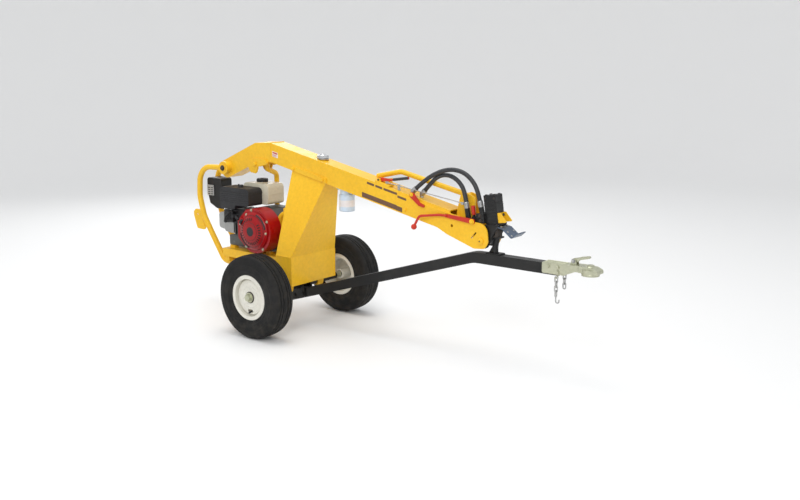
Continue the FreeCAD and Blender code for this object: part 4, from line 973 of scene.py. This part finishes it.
def make_fuel_tank_details():
    """The seam between the tank's halves, its neck, and the grips and top of the fuel cap."""
    mesh = bmesh.new()
    z = 0.7085
    block(mesh, at(-0.3864, -0.0614, z - 0.0018), at(-0.1886, 0.0614, z + 0.0018))
    piece("fuel_tank_seam", mesh, "boom", "beige", bevel=0.0016)

    mesh = bmesh.new()
    neck = ((0, 0.029), (0, 0.0375), (0.0022, 0.036), (0.0034, 0.029))
    lathe(mesh, at(FUEL_CAP_X, 0, 0.7648), (0, 0, 1), neck, 48)
    piece("fuel_neck", mesh, "boom", "beige")

    mesh = bmesh.new()
    for way in around(14):
        spot = at(FUEL_CAP_X, 0, 0) + way * 0.0292
        tube(mesh, [spot + Vector((0, 0, 0.769)), spot + Vector((0, 0, 0.7835))], 0.0028, 8)
    crown = ((0, 0.024), (0.0016, 0.023), (0.0018, 0.01), (0.003, 0.009))
    turned(mesh, at(FUEL_CAP_X, 0, 0.7855), (0, 0, 1), crown, 40)
    piece("fuel_cap_grips", mesh, "fuel_cap", "plastic")


def make_exhaust_details():
    """The muffler's bright plate with rows of slots, its outlet and the dark shield under it."""
    mesh = bmesh.new()
    block(mesh, at(-0.704, -0.048, 0.664), at(-0.648, -0.0448, 0.724))
    for x in (-0.697, -0.655):
        hex_head(mesh, at(x, -0.048, 0.717), (0, -1, 0), 0.0042, 0.0034)
    piece("muffler_guard", mesh, "boom", "aluminium", bevel=0.0008)

    # The slots are thin dark sheets on the plate's face, painted shade of openings; the outlet's dark end
    # is painted shade of its bore.
    mesh = bmesh.new()
    for row in range(4):
        for column in range(2):
            x = -0.696 + column * 0.024
            z = 0.67 + row * 0.0118
            block(mesh, at(x, -0.0484, z), at(x + 0.018, -0.0478, z + 0.0046))
    tube(mesh, [at(-0.704, 0.0, 0.7), at(-0.72, 0.0, 0.7)], 0.0105, 20)
    piece("muffler_slots", mesh, "boom", "dark")

    mesh = bmesh.new()
    sheet = [(-0.7, 0.662), (-0.686, 0.618), (-0.63, 0.592), (-0.57, 0.592), (-0.57, 0.662)]
    slab(mesh, [at(x, 0, z) for x, z in sheet], -0.044, -0.042)
    piece("exhaust_shield", mesh, "boom", "black", bevel=0.0006)


def make_engine_bolts():
    """Bolts of the valve cover, the crankcase, the engine's feet and the pump's bellhousing."""
    cx, cz = CRANK
    mesh = bmesh.new()
    for y in (-0.08, 0.016):
        for z in (cz - 0.008, cz + 0.036):
            hex_head(mesh, at(cx - 0.3715, y, z), (-1, 0, 0), 0.005, 0.004)
    for x, z in ((cx + 0.05, cz - 0.1), (cx + 0.052, cz + 0.04), (cx - 0.06, cz + 0.092)):
        hex_head(mesh, at(x, -0.078, z), (0, -1, 0), 0.0056, 0.0046)
    for x in (cx - 0.3 + 0.018, cx + 0.05):
        for y in (-0.06, 0.07):
            hex_head(mesh, at(x, y, 0.403 + 0.0002), (0, 0, 1), 0.007, 0.006)
    for x in (cx - 0.038, cx + 0.038):
        for z in (cz - 0.045, cz + 0.045):
            hex_head(mesh, at(x, 0.2238, z), (0, 1, 0), 0.0066, 0.0056)
    piece("engine_bolts", mesh, "boom", "zinc", bevel=0.0003)


def make_cylinder_details():
    """A shroud beside the cylinder, the spark plug's lead and a small control box."""
    cx, cz = CRANK
    mesh = bmesh.new()
    sheet = [(-0.334, 0.536), (-0.480, 0.536), (-0.505, 0.560), (-0.505, 0.604), (-0.452, 0.616),
             (-0.334, 0.616)]
    slab(mesh, [at(x, 0, z) for x, z in sheet], -0.1016, -0.1001)
    piece("cylinder_shroud", mesh, "boom", "plastic", bevel=0.0004)

    mesh = bmesh.new()
    base = at(cx - 0.276, -0.1016, cz + 0.02)
    cap = ((0, 0.0105), (0.006, 0.0105), (0.007, 0.0085), (0.028, 0.0095), (0.032, 0.0075))
    turned(mesh, base, (0, -1, 0), cap, 24)
    boot = base + Vector((0, -0.026, 0))
    lead = [boot + Vector(step) for step in ((0, 0, 0), (0.004, -0.010, 0.010), (0.018, -0.012, 0.034),
                                             (0.044, -0.004, 0.058), (0.080, 0.020, 0.066),
                                             (0.112, 0.042, 0.058))]
    tube(mesh, smooth_line(lead), 0.0036, 12)
    piece("spark_lead", mesh, "boom", "hose")

    mesh = bmesh.new()
    block(mesh, at(-0.474, -0.13, 0.546), at(-0.404, -0.104, 0.61))
    block(mesh, at(-0.468, -0.134, 0.552), at(-0.446, -0.1295, 0.574))
    for k in range(3):
        block(mesh, at(-0.44 + k * 0.01, -0.134, 0.556), at(-0.435 + k * 0.01, -0.1295, 0.602))
    piece("control_box", mesh, "boom", "plastic", bevel=0.0018)


def smooth_line(points, steps=10):
    """A rounded line through points, for wires and leads."""
    result = []
    padded = [points[0]] + list(points) + [points[-1]]
    for a, b, c, d in zip(padded, padded[1:], padded[2:], padded[3:]):
        for k in range(steps):
            t = k / steps
            result.append(((b * 2) + (c - a) * t + (a * 2 - b * 5 + c * 4 - d) * t * t
                           + (b * 3 - a - c * 3 + d) * t ** 3) * 0.5)
    result.append(points[-1])
    return result


def make_frame_details():
    """Weld beads of the hoops on the tank and of the lug, which only the right hoop has."""
    mesh = bmesh.new()
    for side in (-1, 1):
        for s in (-1, 1):
            foot_y, lug_y = side * HOOP_Y + s * 0.0245, side * HOOP_Y + s * 0.0045
            bead(mesh, at(-0.0305, foot_y, 0.6), at(-0.0305, foot_y, 0.656), 0.0024)
            if side < 0:
                bead(mesh, at(-0.744, lug_y, 0.574), at(-0.712, lug_y, 0.484), 0.0024)
    bead_ring(mesh, at(-0.29, 0.106, 0.3945), (0, 0, 1), 0.0152, 0.0026)
    bead_ring(mesh, at(-0.254, 0, 0.8735), (0, 0, 1), 0.015, 0.0024)
    piece("engine_frame_welds", mesh, "boom", "yellow")


# ---- Finish of the CAD pieces ----
FINISH = {
    "black": ("axle_shaft", "tow_bar", "axle_clamp", "transport_post", "muffler", "hydraulic_pump",
              "auger_motor", "port_block", "head_yoke"),
    "yellow": ("boom_tube", "rear_arm", "rear_hub", "kink_brackets", "oil_tank", "tank_flange",
               "axle_bearings", "cheek_right", "cheek_left", "handle_bracket", "engine_hoop_right",
               "engine_hoop_left", "engine_stay", "engine_plate", "head_guard", "handle", "pivot_pin"),
    "zinc": ("axle_nuts", "coupler_body", "coupler_bolts", "coupler_latch", "boom_bolts"),
    "steel": ("hose_fittings", "safety_chains", "crankshaft", "throttle_lever"),
    "cream": ("rim_right", "rim_left", "wheel_hub_right", "wheel_hub_left"),
    "tyre": ("tyre_right", "tyre_left"),
    "iron": ("output_hub",),
    "orange_red": ("latch_lever", "lock_lever", "side_lever", "spool_lever"),
    "red": ("fan_cover", "recoil_cover"),
    "beige": ("fuel_tank",),
    "plastic": ("air_cleaner", "fuel_cap", "starter_handle"),
    "aluminium": ("cylinder_head",),
    "casting": ("crankcase", "cylinder"),
    "chrome": ("filler_cap",),
    "filter": ("return_filter",),
    # the skid plate's blue-grey is a painted sky reflection on dark steel
    "plate": ("skid_plate",),
    "hose": ("hose_outer", "hose_inner"),
}


def finish_cad():
    for material, names in FINISH.items():
        for name in names:
            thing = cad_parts[name]
            thing.data.materials.clear()
            thing.data.materials.append(MATERIALS[material])
    for name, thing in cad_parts.items():
        if not thing.hide_render and not name.startswith(("safety_chains", "engine_hoop")):
            rounding = thing.modifiers.new("round", "BEVEL")
            rounding.width = 0.0012
            rounding.segments = 2
            rounding.limit_method = "ANGLE"
            rounding.angle_limit = math.radians(42)
            rounding.harden_normals = False


# ---- Build ----
MATERIALS = make_materials()
make_camera()
make_floor()
make_lights()
for hose_name, route, hose_length in HOSES:
    make_hose_ends(hose_name, make_hose(hose_name, route))
for wheel_name, wheel_side in SIDES:
    make_tyre(wheel_name, wheel_side)
    make_rim(wheel_name, wheel_side)
make_axle_nuts()
make_tow_bar_details()
make_coupler_details()
make_boom_markings()
make_boom_welds()
make_boom_bolts()
make_control_rod()
make_boom_nose()
make_tank_welds()
make_filler_details()
make_filter_details()
make_head_details()
make_lever_details()
make_recoil_cover()
make_air_cleaner_details()
make_fuel_tank_details()
make_exhaust_details()
make_engine_bolts()
make_cylinder_details()
make_frame_details()
finish_cad()
